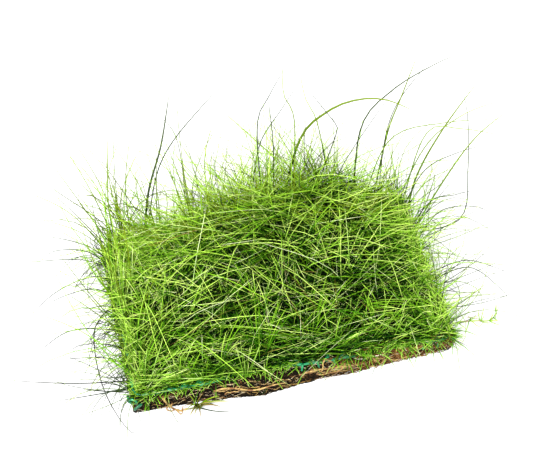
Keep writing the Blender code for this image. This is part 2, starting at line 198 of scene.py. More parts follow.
# Root fibres: the face that each starts from, as an axis and a level, with its odds. They crawl in steps,
# whose length is in millimetres: how much their first aim and each turn vary, and what share of the lift
# they keep to. From LOOSE_FROM_X on the front ones grow redder and looser to the right. Some are fresh and
# pale.
FIBRE_FACES = ((1, MAT_LOW.y), (0, MAT_LOW.x), (0, MAT_HIGH.x), (1, MAT_HIGH.y), (2, MAT_HIGH.z))
FACE_ODDS = (0.40, 0.13, 0.13, 0.20, 0.14)
FIBRE_STEPS = 11
FIBRE_STEP = (0.9, 3.0)
SHORTEST_STEP = 0.05 * MM
FIBRE_AIM = 0.35
FIBRE_TURN = 0.28
FIBRE_HUG = (0.3, 1.0)
FIBRE_LIFT = 0.8 * MM
LOOSE_LIFT = 2.0 * MM
LOOSE_FROM_X = 2.0 * MM
LOOSE_OVER = 36.0 * MM
PALE_FIBRES = 0.10
PALE_RADIUS, FIBRE_RADIUS = (0.5, 0.8), (0.6, 1.4)
PALE_TINT, FIBRE_TINT, LOOSE_TINT, FIBRE_TINT_SPREAD = (0.75, 0.95), 0.04, 0.46, 0.18

# Net: the loops of it that stick out at the front left corner, as centre, radius and the way that each
# faces, and the cut ends along the front, as place and direction, all in millimetres
NET_LOOPS = (
    ((-64.2, -38.6, 8.0), 1.8, (0.5, 1.0, 0.2)),
    ((-62.4, -39.6, 5.2), 1.6, (-0.6, 1.0, 0.5)),
    ((-65.0, -36.4, 6.4), 1.5, (1.0, 0.2, 0.4)),
)
NET_STUBS = (
    ((2.2, -39.0, 9.6), (-0.3, -0.6, -1.0)),
    ((8.6, -39.0, 9.6), (0.2, -0.7, -1.0)),
    ((15.0, -39.0, 9.6), (0.4, -0.5, -1.0)),
    ((50.6, -38.8, 8.2), (0.2, -0.8, -0.6)),
    ((56.9, -38.8, 8.0), (-0.2, -0.9, -0.4)),
    ((63.4, -38.2, 8.8), (0.8, -0.6, -0.5)),
    ((63.8, -35.0, 9.6), (1.0, -0.2, -0.3)),
)
NET_STUB_LENGTH = 2.6 * MM
LOOP_THICKNESS, STUB_THICKNESS = 0.42, 0.45
STUB_TAPER, STUB_BEVEL = 0.8, 0.2
ROUND_SEGMENTS, LOOP_STEPS = 8, 24

# The net wanders in waves, its front strand sags and stands out a little, and between each pair of places
# in NET_BURIED that strand is sunk in the roots. Distances without a unit are in millimetres.
NET_WANDER, NET_WANDER_WAVE = (0.9, 0.9, 0.3), 14 * MM
NET_SAG, NET_SAG_WAVE = 1.6, 5 * MM
NET_FRONT_OUT = 0.7 * MM
NET_BURIED = ((-27.0 * MM, -3.0 * MM), (27.0 * MM, 50.0 * MM))
NET_SUNK = (0.0, 2.2, -0.7)

# Runners: node, slot, number of thinner stems beside it, its radius and how far those stray, in millimetres
Runner = namedtuple("Runner", "node slot companions radius stray")
RUNNERS = (
    Runner("front_runner_left", "runner", 5, 0.36, 1.6),
    Runner("front_runner_right", "runner", 18, 0.34, 2.5),
    Runner("loose_runner", "runner", 2, 0.42, 0.9),
    Runner("side_runner", "young_runner", 2, 0.24, 1.2),
)
RUNNER_NODES = 4
RUNNER_SLICES = 9
STEM_STRAY = 0.15 * MM
SWELLING, SWELLING_WIDTH = 0.45, 0.006
STEM_TAPER, COMPANION_TAPER = 0.5, 0.6
SHORTEST_COMPANION = 0.3
COMPANION_RADIUS = (0.25, 0.75)
WAVES = (1, 2, 4, 7)

# Leaves of the side runner: where along it, how many at each node, their lean in degrees, their lengths in
# millimetres, the way that they face and their tint
LEAF_NODES = (0.12, 0.30, 0.50, 0.68, 0.84, 0.98)
LEAVES_AT_NODE = 4
LEAF_LEAN, LEAF_BEND = (20, 110), (-30, 30)
LEAF_LENGTHS = (2.5, 8.0)
LEAF_TOWARD, LEAF_FAN = (1.0, -0.3), 1.9
LEAF_FOOT_SPREAD = 0.2 * MM
LEAF_RADIUS, LEAF_TINT = (0.7, 1.3), (0.68, 0.05)

# The loose plantlet: where it stands and its root tails, in millimetres, then its shoots' number, spread,
# bend, radius and tints
PLANTLET_FOOT = (-40.0, -41.8)
ROOT_TAILS = (
    ((-40.0, -42.0, 1.0), (-34.0, -45.0, 0.8), (-27.0, -47.0, 0.7)),
    ((-41.0, -41.5, 1.2), (-37.0, -41.5, 2.6), (-33.5, -42.0, 1.0)),
)
PLANTLET_SHOOTS = 20
PLANTLET_TIP_SPREAD, PLANTLET_FOOT_SPREAD = 1.3 * MM, 0.5 * MM
PLANTLET_BEND, PLANTLET_RISE = 0.35, 0.3
PLANTLET_RADIUS, TAIL_RADIUS = (0.20, 0.34), 0.22
PLANTLET_TINTS = (0.09, 0.12, 0.88, 0.90, 0.93, 0.95)

# Where each colour of the blades stands in their ramp, and the painted shade that darkens blades in the
# thicket
TINTS = {
    "grey": 0.0, "olive": 0.08, "dry": 0.13, "dark": 0.18, "green": 0.36,
    "lime": 0.56, "yellow": 0.72, "pale": 0.82, "tan": 0.92, "brown": 1.0,
}
TINT_JITTER = 0.01
PAINTED_THICKET_SHADE = (
    (0.0, (0.02, 0.02, 0.02)),
    (0.45, (0.01, 0.03, 0.002)),
    (0.66, (0.003, 0.022, 0.0005)),
    (0.80, (0.018, 0.07, 0.004)),
    (0.90, (0.23, 0.40, 0.10)),
    (1.0, 1.0),
)

# Habits: share of a tuft, lean at the foot in degrees from upright, how much further it leans at the tip,
# height as a share of the canopy's, thickness as a share of the usual blade's, the tint with its spread,
# and how far a blade is lifted from the light of its place towards full light
Habit = namedtuple("Habit", "share lean bend rise radius tint spread lift")
# Tints and lifts rise from the low habit to the high ones: painted shade low down and painted light on top
HABITS = (
    Habit(0.800, (5, 62), (0, 50), (0.30, 0.80), (0.75, 1.00), 0.28, 0.09, 0.00),
    Habit(0.060, (20, 70), (0, 26), (0.65, 1.05), (0.50, 0.85), 0.44, 0.10, 0.50),
    Habit(0.042, (30, 72), (-4, 10), (0.80, 1.12), (0.60, 0.95), 0.52, 0.13, 0.92),
    Habit(0.013, (40, 72), (-4, 12), (0.90, 1.18), (0.85, 1.25), 0.70, 0.05, 1.00),
    Habit(0.009, (5, 34), (55, 82), (0.85, 1.15), (0.80, 1.25), 0.62, 0.10, 0.98),
    # The next two, thin and pale, paint highlights on fine blades
    Habit(0.038, (30, 80), (0, 30), (0.40, 1.10), (0.40, 0.60), 0.76, 0.02, 1.00),
    Habit(0.006, (10, 55), (0, 60), (0.60, 1.05), (0.36, 0.55), 0.80, 0.01, 0.95),
    Habit(0.007, (20, 60), (10, 70), (0.40, 0.95), (0.70, 1.00), 0.92, 0.02, 0.80),
)

# Blades in a row along an edge: number in a tuft, how they grow, the way that they face and half the angle
# of the fan
Wall = namedtuple("Wall", "count habit toward fan")
WALLS = {
    "left": Wall(64, Habit(0, (12, 66), (-10, 50), (0.25, 0.95), (0.7, 1.05), 0.68, 0.08, 0.9), (-1, 0), 3.1),
    "right": Wall(50, Habit(0, (12, 62), (-10, 50), (0.3, 1), (0.7, 1.05), 0.68, 0.08, 0.9), (1, 0), 3.1),
    "back": Wall(30, Habit(0, (5, 50), (0, 60), (0.5, 1.2), (0.6, 0.95), 0.68, 0.08, 0.8), (0, 1), 3.1),
    "front": Wall(50, Habit(0, (0, 50), (0, 60), (0.15, 0.7), (0.7, 1.05), 0.54, 0.12, 0.7), (0, -1), 3.1),
}

# Short shoots and low blades that stand out all along a side of the mat, from its roots, and hide its edge,
# and hanging ones over it: number, habit, lengths in millimetres, the way that they face and half the angle
# of the fan, the ends of the row as shares of the net's size, and depth under the net in millimetres
Skirt = namedtuple("Skirt", "count habit lengths toward fan start end depth")
SHORT = Habit(0, (40, 90), (-20, 40), (0.0, 0.0), (0.7, 1.1), 0.68, 0.08, 0.92)
LOW = Habit(0, (30, 80), (0, 60), (0.0, 0.0), (0.7, 1.1), 0.64, 0.08, 0.94)
HANGING = Habit(0, (50, 105), (0, 40), (0.0, 0.0), (0.8, 1.2), 0.66, 0.08, 0.94)
SKIRTS = (
    Skirt(260, SHORT, (3.0, 7.5), (-1.0, 0.0), 1.3, (0.0, 0.0), (0.0, 1.0), (-1.0, 2.5)),
    Skirt(200, SHORT, (3.0, 7.5), (1.0, 0.0), 1.3, (1.0, 0.0), (1.0, 1.0), (-1.0, 2.0)),
    Skirt(160, SHORT, (3.0, 9.0), (0.0, 1.0), 1.3, (0.0, 1.0), (1.0, 1.0), (-1.0, 3.0)),
    Skirt(90, SHORT, (3.0, 9.0), (-0.3, -1.0), 1.3, (0.0, 0.0), (0.25, 0.0), (-2.0, 0.5)),
    Skirt(20, SHORT, (4.0, 9.0), (-0.6, -1.0), 1.1, (0.02, 0.0), (0.07, 0.0), (0.0, 5.0)),
    Skirt(90, LOW, (2.5, 5.5), (0.1, -1.0), 1.4, (0.28, 0.0), (0.50, 0.0), (-3.0, -1.0)),
    Skirt(80, LOW, (2.5, 5.5), (0.1, -1.0), 1.4, (0.70, 0.0), (0.92, 0.0), (-3.0, -1.0)),
    Skirt(30, LOW, (2.5, 5.0), (0.1, -1.0), 1.3, (0.50, 0.0), (1.0, 0.0), (-3.0, -1.0)),
    Skirt(96, HANGING, (5.0, 14.0), (0.1, -1.0), 1.4, (0.62, 0.0), (1.0, 0.0), (-3.5, 0.5)),
    Skirt(24, HANGING, (4.0, 11.0), (0.1, -1.0), 1.4, (0.12, 0.0), (0.55, 0.0), (-2.0, 0.5)),
)
SKIRT_WIDTH = 1.6
SKIRT_FOOT_LIGHT = 0.88

# Fans: plants that spread from one point along the front. Place in millimetres, number of blades, their
# lengths, their lean at the foot in degrees, the way that they face and half the angle that they fan over
Fan = namedtuple("Fan", "place count lengths lean toward fan", defaults=((0, 85), (0.0, -1.0), math.pi))
FLAT = {"lean": (56, 86), "toward": (-1.0, 0.4), "fan": 1.5}
FANS = (
    Fan((-58.0, -36.0, 9.0), 30, (10.0, 26.0)),
    Fan((-47.0, -36.5, 9.0), 22, (10.0, 24.0)),
    Fan((-36.0, -37.0, 8.5), 20, (10.0, 26.0)),
    Fan((-20.0, -38.5, 6.5), 24, (12.0, 30.0)),
    Fan((-12.5, -38.8, 4.5), 18, (10.0, 26.0)),
    Fan((6.0, -36.5, 9.0), 18, (14.0, 34.0), (20, 85)),
    Fan((17.0, -35.5, 9.0), 16, (14.0, 34.0), (30, 85)),
    Fan((27.0, -36.0, 9.0), 18, (14.0, 34.0), (30, 85)),
    Fan((39.0, -36.0, 9.0), 20, (12.0, 32.0), (30, 85)),
    Fan((49.0, -35.5, 9.0), 18, (12.0, 30.0), (30, 85)),
    Fan((58.0, -35.5, 8.5), 22, (10.0, 26.0)),
    Fan((33.0, -37.5, 8.0), 16, (8.0, 24.0), (40, 88)),
    Fan((45.0, -37.5, 8.0), 16, (8.0, 22.0), (40, 88)),
    Fan((53.0, -37.0, 8.0), 16, (8.0, 22.0), (40, 88)),
    Fan((-26.0, -36.0, 10.5), 28, (16.0, 36.0), **FLAT),
    Fan((-33.0, -35.0, 11.0), 34, (14.0, 32.0), **FLAT),
    Fan((-41.0, -35.5, 11.0), 26, (12.0, 26.0), **FLAT),
    Fan((-49.0, -35.0, 11.0), 22, (8.0, 18.0), **FLAT),
    Fan((-19.0, -35.5, 10.0), 16, (16.0, 36.0), **FLAT),
)
FAN_BEND, FAN_FOOT_SPREAD = (-10, 25), 0.35
FAN_RADIUS, FAN_TINT = (0.9, 1.4), (0.71, 0.05)
FAN_LIGHT, FAN_FOOT_LIGHT = 0.93, 0.94

# Wisps: thin blades that stray past an edge. Direction, number in a tuft, lean at the foot and further lean
# at the tip in degrees, lengths in millimetres, half the angle that they fan over, thickness as a share of
# the usual wisp's, tints, and the stretch of the mat in millimetres along x that they grow on
Wisps = namedtuple("Wisps", "toward count lean bend length fan radius tints where", defaults=((-99, 99),))
# A tint of 0 is grey, the painted shade of thin wisps seen against the light
OLIVES = (0.06, 0.08, 0.1, 0.54)
MIXED = (0.09, 0.12, 0.54, 0.6)
LIMES = (0.09, 0.12, 0.56, 0.62)
LACE = (0.1, 0.13, 0.56, 0.62, 0.66)
WISPS = {
    "left": (
        Wisps((-1, 0), 10, (30, 75), (10, 110), (20, 46), 1.1, (0.9, 1.3), (0, 0, 0.02, 0.08, 0.12)),
        Wisps((-1, -0.1), 16, (45, 85), (20, 100), (20, 44), 1.0, (0.9, 1.3), (0, 0, 0, 0.01, 0.06)),
        Wisps((-0.5, 0.8), 5, (6, 45), (-25, 60), (44, 84), 1.2, (1.3, 1.8), OLIVES),
    ),
    "right": (
        Wisps((1, 0.1), 20, (20, 75), (-30, 80), (20, 54), 1.2, (0.9, 1.2), (0, 0, 0.02, 0.09, 0.12, 0.56)),
    ),
    "back": (
        Wisps((0, 1), 12, (25, 80), (-70, 60), (16, 46), 2.2, (0.9, 1.4), MIXED, (-99, -25)),
        Wisps((1, 0.4), 14, (15, 50), (10, 70), (36, 76), 0.8, (1, 1.5), LIMES, (-99, -25)),
        Wisps((-1, 0.5), 14, (15, 50), (10, 70), (36, 76), 0.8, (1, 1.5), LIMES, (-99, -25)),
        Wisps((-0.5, 0.9), 10, (5, 45), (-20, 50), (56, 96), 0.9, (1.4, 1.9), OLIVES, (-99, -25)),
        Wisps((0, 1), 20, (25, 80), (-70, 60), (14, 42), 2.2, (0.9, 1.4), MIXED, (-25, 40)),
        Wisps((1, 0.3), 30, (10, 50), (20, 76), (30, 58), 0.8, (1, 1.5), LACE, (-25, 25)),
        Wisps((-1, 0.3), 30, (10, 50), (20, 76), (30, 58), 0.8, (1, 1.5), LACE, (-12, 40)),
        Wisps((0, 1), 16, (5, 50), (-30, 70), (36, 60), 1.3, (1, 1.5), (0, 0.08, 0.1, 0.54, 0.58), (-25, 40)),
        Wisps(
            (-0.6, 0.6), 10, (10, 70), (0, 84), (24, 56), 1.6, (0.9, 1.3), (0.02, 0.12, 0.56, 0.62), (40, 99)
        ),
        Wisps((0.4, 0.8), 8, (5, 50), (-20, 60), (40, 76), 1.2, (1, 1.5), (0, 0.08, 0.1, 0.54), (40, 99)),
    ),
    "front": (),
}

# Stray blades that stand out in the outline: tint, radius, and the points that each runs through, all in
# millimetres. They are grouped by the overgrown blade that they belong with.
# A tint of 0 is grey, the painted shade of thin blades seen against the light
STRAYS = {
    "long_blade_1": (
        (0.00, 0.16, ((-56, -31, 10), (-66, -30, 10), (-86, -25, 8), (-111, -15, 4))),
        (0.00, 0.17, ((-58, 6, 10), (-67, -5, 23), (-74, -13, 20), (-74, -30, 8), (-67, -47, 0.8),
            (-59, -48, 0.8))),
        (0.00, 0.13, ((-60, -24, 10), (-72, -21, 15), (-90, -17, 14))),
        (0.10, 0.14, ((-60, -33, 10), (-74, -33, 9), (-96, -29, 4))),
        (0.11, 0.14, ((-61, -34, 9), (-72, -32, 8), (-83, -27, 6))),
        (0.00, 0.15, ((-60, -8, 10), (-71, -11, 20), (-84, -11, 22), (-99, -11, 10))),
        (0.00, 0.14, ((-60, -18, 10), (-68, -18, 18), (-79, -16, 19), (-86, -13, 11))),
    ),
    "long_blade_2": (
        (0.00, 0.15, ((-58, 16, 10), (-70, 12, 24), (-85, 11, 20), (-98, 11, 7))),
        (0.00, 0.15, ((-59, 8, 10), (-70, 8, 21), (-81, 7, 22), (-91, 9, 15))),
        (0.00, 0.15, ((-59, 22, 10), (-70, 23, 26), (-83, 25, 28), (-90, 27, 20))),
        (0.00, 0.14, ((-58, 20, 10), (-72, 21, 24), (-98, 24, 26))),
        (0.00, 0.12, ((-58, 25, 10), (-72, 27, 27), (-93, 35, 30))),
        (0.10, 0.13, ((-58, 28, 10), (-72, 28, 33), (-91, 35, 40))),
    ),
    "long_blade_3": (
        (0.11, 0.14, ((-58, 24, 10), (-72, 31, 37), (-85, 38, 46), (-96, 43, 47))),
        (0.02, 0.12, ((-58, 30, 10), (-73, 32, 40), (-84, 37, 55))),
        (0.08, 0.15, ((-58, 32, 10), (-69, 36, 38), (-80, 48, 58))),
        (0.09, 0.15, ((-57, 34, 10), (-65, 40, 42), (-73, 60, 52))),
        (0.09, 0.13, ((-54, 35, 10), (-57, 42, 46), (-67, 52, 62))),
        (0.09, 0.20, ((-58, 36, 10), (-59, 38, 38), (-53, 64, 60))),
        (0.08, 0.16, ((-52, 34, 10), (-51, 44, 38), (-45, 57, 58))),
    ),
    "long_blade_4": (
        (0.01, 0.34, ((-47, 35, 10), (-42, 44, 32), (-34, 56, 45), (-26, 78, 53))),
        (0.00, 0.19, ((-46, 36, 10), (-35, 54, 37), (-14, 68, 52), (1, 76, 58))),
        (0.02, 0.13, ((-28, 36, 10), (-27, 58, 44), (-37, 64, 60))),
        (0.09, 0.18, ((-18, 36, 10), (-17, 53, 34), (-11, 60, 52))),
    ),
    "long_blade_5": (
        (0.01, 0.22, ((8, 36, 10), (10, 45, 45), (11, 60, 62))),
        (0.00, 0.19, ((4, 36, 10), (5, 52, 50), (12, 61, 58), (23, 77, 58))),
        (0.09, 0.20, ((16, 36, 10), (21, 54, 47), (18, 61, 58), (21, 76, 63))),
        (0.00, 0.15, ((-2, 36, 10), (4, 46, 44), (16, 55, 56), (28, 66, 62))),
        (0.11, 0.17, ((34, 36, 10), (30, 50, 47), (26, 57, 58), (27, 73, 62))),
        (0.00, 0.16, ((22, 36, 10), (35, 43, 46), (36, 44, 52), (32, 46, 59), (26, 65, 60))),
        (0.07, 0.40, ((10, 36, 10), (22, 49, 42), (34, 51, 54), (46, 50, 59), (58, 48, 58), (70, 44, 52))),
    ),
    "long_blade_6": (
        (0.08, 0.26, ((50, 35, 10), (58, 45, 42), (65, 52, 54), (78, 72, 58))),
        (0.01, 0.24, ((42, 36, 10), (46, 43, 50), (61, 52, 59), (82, 61, 61), (95, 64, 62))),
        (0.01, 0.15, ((52, 34, 10), (60, 48, 48), (84, 68, 60))),
    ),
    "long_blade_7": (
        (0.08, 0.28, ((60, 20, 10), (67, 31, 27), (79, 38, 46), (99, 54, 55))),
        (0.11, 0.17, ((56, 26, 10), (72, 39, 35), (89, 44, 46), (108, 43, 53))),
        (0.09, 0.16, ((44, 32, 10), (57, 39, 44), (80, 38, 50), (107, 38, 46))),
        (0.00, 0.15, ((62, 16, 10), (83, 16, 15), (89, 30, 30), (93, 47, 42), (92, 59, 55))),
    ),
    "long_blade_8": (
        (0.11, 0.16, ((60, 28, 10), (72, 38, 45), (86, 35, 48), (108, 35, 38))),
        (0.02, 0.15, ((58, 24, 10), (68, 26, 36), (82, 27, 43), (97, 28, 44))),
        (0.10, 0.24, ((60, 14, 10), (78, 26, 30), (94, 38, 38), (112, 48, 41))),
        (0.00, 0.14, ((61, 18, 10), (71, 21, 23), (80, 18, 28), (91, 19, 28))),
        (0.00, 0.14, ((61, 10, 10), (74, 18, 19), (88, 15, 22), (98, 13, 15))),
    ),
    "long_blade_9": (
        (0.00, 0.14, ((61, -6, 10), (76, -9, 19), (88, -14, 17), (93, -17, 15))),
        (0.00, 0.13, ((60, -10, 10), (77, -12, 18), (88, -22, 13), (91, -25, 8))),
        (0.11, 0.14, ((60, -26, 10), (70, -25, 13), (84, -19, 16))),
    ),
}


def screen(red, green, blue):
    """A colour as a screen shows it, 0 to 255, in the linear values that shaders take."""
    shares = (value / 255 for value in (red, green, blue))
    return tuple(s / 12.92 if s <= 0.04045 else ((s + 0.055) / 1.055) ** 2.4 for s in shares)


def colour_property(name, description, default):
    return bpy.props.FloatVectorProperty(
        name=name, description=description, default=default, subtype="COLOR", min=0.0, max=1.0
    )


def length_property(name, description, default):
    return bpy.props.FloatProperty(
        name=name, description=description, default=default, unit="LENGTH", subtype="DISTANCE", min=0.0
    )


def amount_property(name, description, default):
    return bpy.props.FloatProperty(name=name, description=description, default=default, min=0.0)


def count_property(name, description, default):
    return bpy.props.IntProperty(name=name, description=description, default=default, min=3)


class GrassSettings(bpy.types.PropertyGroup):
    """Numbers, sizes and colours of the blades."""

    edge_count: count_property("Edge blades", "Blades in a tuft at the mat's edge", 260)
    inner_count: count_property("Inner blades", "Blades in a tuft inside the mat", 500)
    radius: length_property("Blade radius", "Radius of a usual blade at its foot", 0.175 * MM)
    wisp_radius: length_property("Wisp radius", "Radius of a stray thin blade", 0.13 * MM)
    # Grey paints the shade of thin wisps seen against the light
    grey: colour_property("Grey green", "Thin old wisps", screen(58, 66, 54))
    olive: colour_property("Olive", "Stray blades against the light", screen(116, 134, 26))
    dry: colour_property("Dry", "Lighter stray blades", screen(136, 156, 34))
    # Dark green and lime stand partly for old and young blades and partly for painted shade and light
    dark: colour_property("Dark green", "Old blades", screen(12, 50, 2))
    green: colour_property("Green", "Usual blades", screen(72, 132, 8))
    lime: colour_property("Lime", "Young blades", screen(160, 208, 52))
    yellow: colour_property("Yellow lime", "Blades in the brightest light", screen(224, 246, 128))
    # Pale paints highlights on thin blades
    pale: colour_property("Pale", "Bleached blades", screen(240, 246, 200))
    tan: colour_property("Tan", "Dying blades", screen(142, 118, 58))
    brown: colour_property("Brown", "Dead blades", screen(84, 60, 32))


class NetSettings(bpy.types.PropertyGroup):
    """Size and colour of the carrier net."""

    pitch: length_property("Pitch", "Distance from strand to strand", 6.35 * MM)
    strand: length_property("Strand", "Thickness of one strand", 1.1 * MM)
    colour: colour_property("Colour", "The plastic", screen(8, 116, 68))


class RootSettings(bpy.types.PropertyGroup):
    """Number, sizes and colours of the roots."""

    fibre_count: count_property("Fibres", "Root fibres over the sides of the mat", 2600)
    fibre_radius: length_property("Fibre radius", "Radius of a root fibre", 0.16 * MM)
    soil: colour_property("Soil", "Dark matted roots", screen(14, 11, 6))
    peat: colour_property("Peat", "Brown matted roots", screen(44, 32, 17))
    rust: colour_property("Rust", "Reddish roots", screen(122, 82, 40))
    straw: colour_property("Straw", "Tan roots and runners", screen(168, 138, 78))
    shoot: colour_property("Shoot", "Fresh green runner", screen(150, 176, 50))
    white: colour_property("White", "Fresh roots", screen(226, 216, 188))


class StageSettings(bpy.types.PropertyGroup):
    """The floor and the light."""

    floor: colour_property("Floor", "The plain floor", (0.30, 0.30, 0.30))
    glow: amount_property("Glow", "How much the floor is lit from below", 0.68)
    sky: amount_property("Sky", "Strength of the even light", 0.86)
    key: amount_property("Key", "Power of the main lamp, in watts", 32.0)
    fill: amount_property("Fill", "Power of the second lamp, in watts", 4.0)


def unit(vectors):
    """The same directions, each one long."""
    return vectors / np.linalg.norm(vectors, axis=-1, keepdims=True)


def eased(share):
    """A share from 0 to 1 that starts and ends slowly."""
    return share * share * (3 - 2 * share)


def merged_copy(node):
    """A CAD node's shape as a bmesh with its loose triangles joined."""
    bm = bmesh.new()
    bm.from_mesh(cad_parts[node].data)
    bmesh.ops.remove_doubles(bm, verts=bm.verts, dist=MERGE)
    return bm


def lock_tips(bm):
    """The tips of the pointed locks in a CAD shape."""
    return np.array([vert.co for vert in bm.verts if len(vert.link_faces) == LOCK_SIDES])


def to_mesh(bm, name):
    """A bmesh as a new mesh. The bmesh is freed."""
    mesh = bpy.data.meshes.new(name)
    bm.to_mesh(mesh)
    bm.free()
    return mesh


def add_object(name, data):
    """Puts a mesh, a lamp or a camera in the scene as an object at the origin."""
    made = bpy.data.objects.new(name, data)
    bpy.context.scene.collection.objects.link(made)
    return made


def add_facing(name, data, place, facing):
    """Puts a lamp or a camera at a place, turned to face along a direction."""
    made = add_object(name, data)
    made.location = place
    made.rotation_euler = facing.to_track_quat("-Z", "Y").to_euler()
    return made


def finished_mesh(made, name):
    """The object's shape with its modifiers applied, as a mesh of its own. The object is removed."""
    graph = bpy.context.evaluated_depsgraph_get()
    mesh = bpy.data.meshes.new_from_object(made.evaluated_get(graph))
    mesh.name = name
    bpy.data.objects.remove(made)
    return mesh


class Finish:
    """A material while its nodes are put together."""

    def __init__(self, name, specular):
        self.material = bpy.data.materials.new(name)
        self.material.use_nodes = True
        self.tree = self.material.node_tree
        self.shader = self.tree.nodes["Principled BSDF"]
        self.shader.inputs["Specular IOR Level"].default_value = specular

    def add(self, kind, inputs=None, **settings):
        """Adds a shader node, with its settings, its values and its links from other nodes' sockets."""
        node = self.tree.nodes.new("ShaderNode" + kind)
        for name, value in settings.items():
            setattr(node, name, value)
        for socket, value in (inputs or {}).items():
            if isinstance(value, bpy.types.NodeSocket):
                self.tree.links.new(value, node.inputs[socket])
            else:
                node.inputs[socket].default_value = value
        return node

    def strand_map(self):
        """The strand's place in the tint map, and its two parts: across and up."""
        uv = self.add("UVMap", uv_map=STRAND_UV).outputs["UV"]
        split = self.add("SeparateXYZ", {"Vector": uv})
        return uv, split.outputs["X"], split.outputs["Y"]

    def place(self):
        """The place on the object."""
        return self.add("TexCoord").outputs["Object"]

    def noise(self, vector, detail, scale=1.0, stretch=None, distortion=0.0):
        """Noise over a vector, which may be stretched first."""
        if stretch:
            vector = self.add("Mapping", {"Vector": vector, "Scale": stretch}).outputs["Vector"]
        inputs = {"Vector": vector, "Scale": scale, "Detail": detail, "Distortion": distortion}
        return self.add("TexNoise", inputs).outputs["Fac"]

    def ramp(self, factor, stops):
        """A colour ramp over a factor. Each stop is a place from 0 to 1 and a colour or a grey."""
        node = self.add("ValToRGB", {"Fac": factor})
        elements = node.color_ramp.elements
        while len(elements) < len(stops):
            elements.new(0.5)
        for element, (place, shade) in zip(elements, stops):
            element.position = place
            element.color = (*shade, 1.0) if hasattr(shade, "__len__") else (shade, shade, shade, 1.0)
        return node.outputs["Color"]

    def multiply(self, colour, factor):
        """A colour times another colour or a grey."""
        inputs = {"Factor": 1.0, 6: colour, 7: factor}
        return self.add("Mix", inputs, data_type="RGBA", blend_type="MULTIPLY").outputs[2]

    def surface(self, colour, grain, roughness):
        """Links the colour, and a roughness that runs between two values with the grain."""
        inputs = {"Value": grain, "To Min": roughness[0], "To Max": roughness[1]}
        rough = self.add("MapRange", inputs).outputs["Result"]
        self.tree.links.new(colour, self.shader.inputs["Base Color"])
        self.tree.links.new(rough, self.shader.inputs["Roughness"])

    def dent(self, height, strength, distance):
        """Links a bump."""
        bump = self.add("Bump", {"Height": height, "Strength": strength, "Distance": distance})
        self.tree.links.new(bump.outputs["Normal"], self.shader.inputs["Normal"])


def strand_finish(name, tints, along, roughness, specular):
    """A finish for strands: the tint comes from across the map, and up it changes along a strand and, on
    blades, with painted shade.
    """
    made = Finish(name, specular)
    uv, across, up = made.strand_map()
    spread = 1 - 2 * TINT_MARGIN
    tint = made.ramp(across, [(TINT_MARGIN + place * spread, shade) for place, shade in tints])
    mottle = made.noise(uv, 2.0, stretch=(70.0, 9.0, 1.0))
    flecks = made.ramp(mottle, ((0.30, 0.72), (0.70, 1.0)))
    colour = made.multiply(made.multiply(tint, made.ramp(up, along)), flecks)
    made.surface(colour, mottle, roughness)
    return made.material


def grass_finish(name, settings):
    """Living and dying blades, with painted shade that darkens them down into the thicket."""
    tints = [(place, getattr(settings, tint)) for tint, place in TINTS.items()]
    return strand_finish(name, tints, PAINTED_THICKET_SHADE, (0.38, 0.55), 0.05)


def fibre_finish(settings):
    """Root fibres, from near black through brown and tan to fresh white."""
    shades = (settings.soil, settings.peat, settings.rust, settings.straw, settings.white)
    tints = tuple(zip((0.0, 0.3, 0.55, 0.8, 1.0), shades))
    return strand_finish("root fibres", tints, ((0.0, 0.8), (0.5, 1.0), (1.0, 0.75)), (0.6, 0.85), 0.06)


def runner_finish(name, skin, sheath):
    """A creeping stem: papery sheaths at its nodes and a smoother skin between them."""
    made = Finish(name, 0.4)
    uv, _, up = made.strand_map()
    spaced = made.add("Math", {0: up, 1: float(RUNNER_NODES)}, operation="MULTIPLY").outputs["Value"]
    between = made.add("Math", {0: spaced, 1: 0.5}, operation="PINGPONG").outputs["Value"]
    stem = made.ramp(between, ((0.0, sheath), (0.12, sheath), (0.2, skin), (0.5, skin)))
    streaks = made.noise(uv, 4.0, stretch=(160.0, 30.0, 1.0))
    shade = made.ramp(streaks, ((0.3, 0.35), (0.55, 0.85), (0.7, 1.0)))
    made.surface(made.multiply(stem, shade), streaks, (0.8, 0.5))
    made.dent(streaks, 0.4, 0.1 * MM)
    return made.material


def soil_finish(settings):
    """Dark matted roots and substrate, with brown and reddish patches and a fibrous surface."""
    made = Finish("matted roots", 0.05)
    place = made.place()
    fibres = made.noise(place, 6.0, stretch=(220.0, 220.0, 900.0), distortion=1.2)
    patches = made.noise(place, 3.0, scale=90.0)
    mixed = made.add("Math", {0: fibres, 1: patches}, operation="MULTIPLY").outputs["Value"]
    stops = ((0.32, settings.soil), (0.48, settings.peat), (0.66, settings.rust))
    made.surface(made.ramp(mixed, stops), fibres, (0.95, 0.7))
    made.dent(fibres, 0.7, 0.6 * MM)
    return made.material


def net_finish(settings):
    """Moulded plastic, scuffed and a little dulled by the water."""
    made = Finish("net plastic", 0.5)
    place = made.place()
    cloud = made.noise(place, 4.0, scale=160.0)
    dull = tuple(0.45 * value for value in settings.colour)
    made.surface(made.ramp(cloud, ((0.35, dull), (0.6, settings.colour))), cloud, (0.6, 0.3))
    made.dent(made.noise(place, 2.0, scale=1400.0), 0.25, 0.1 * MM)
    return made.material


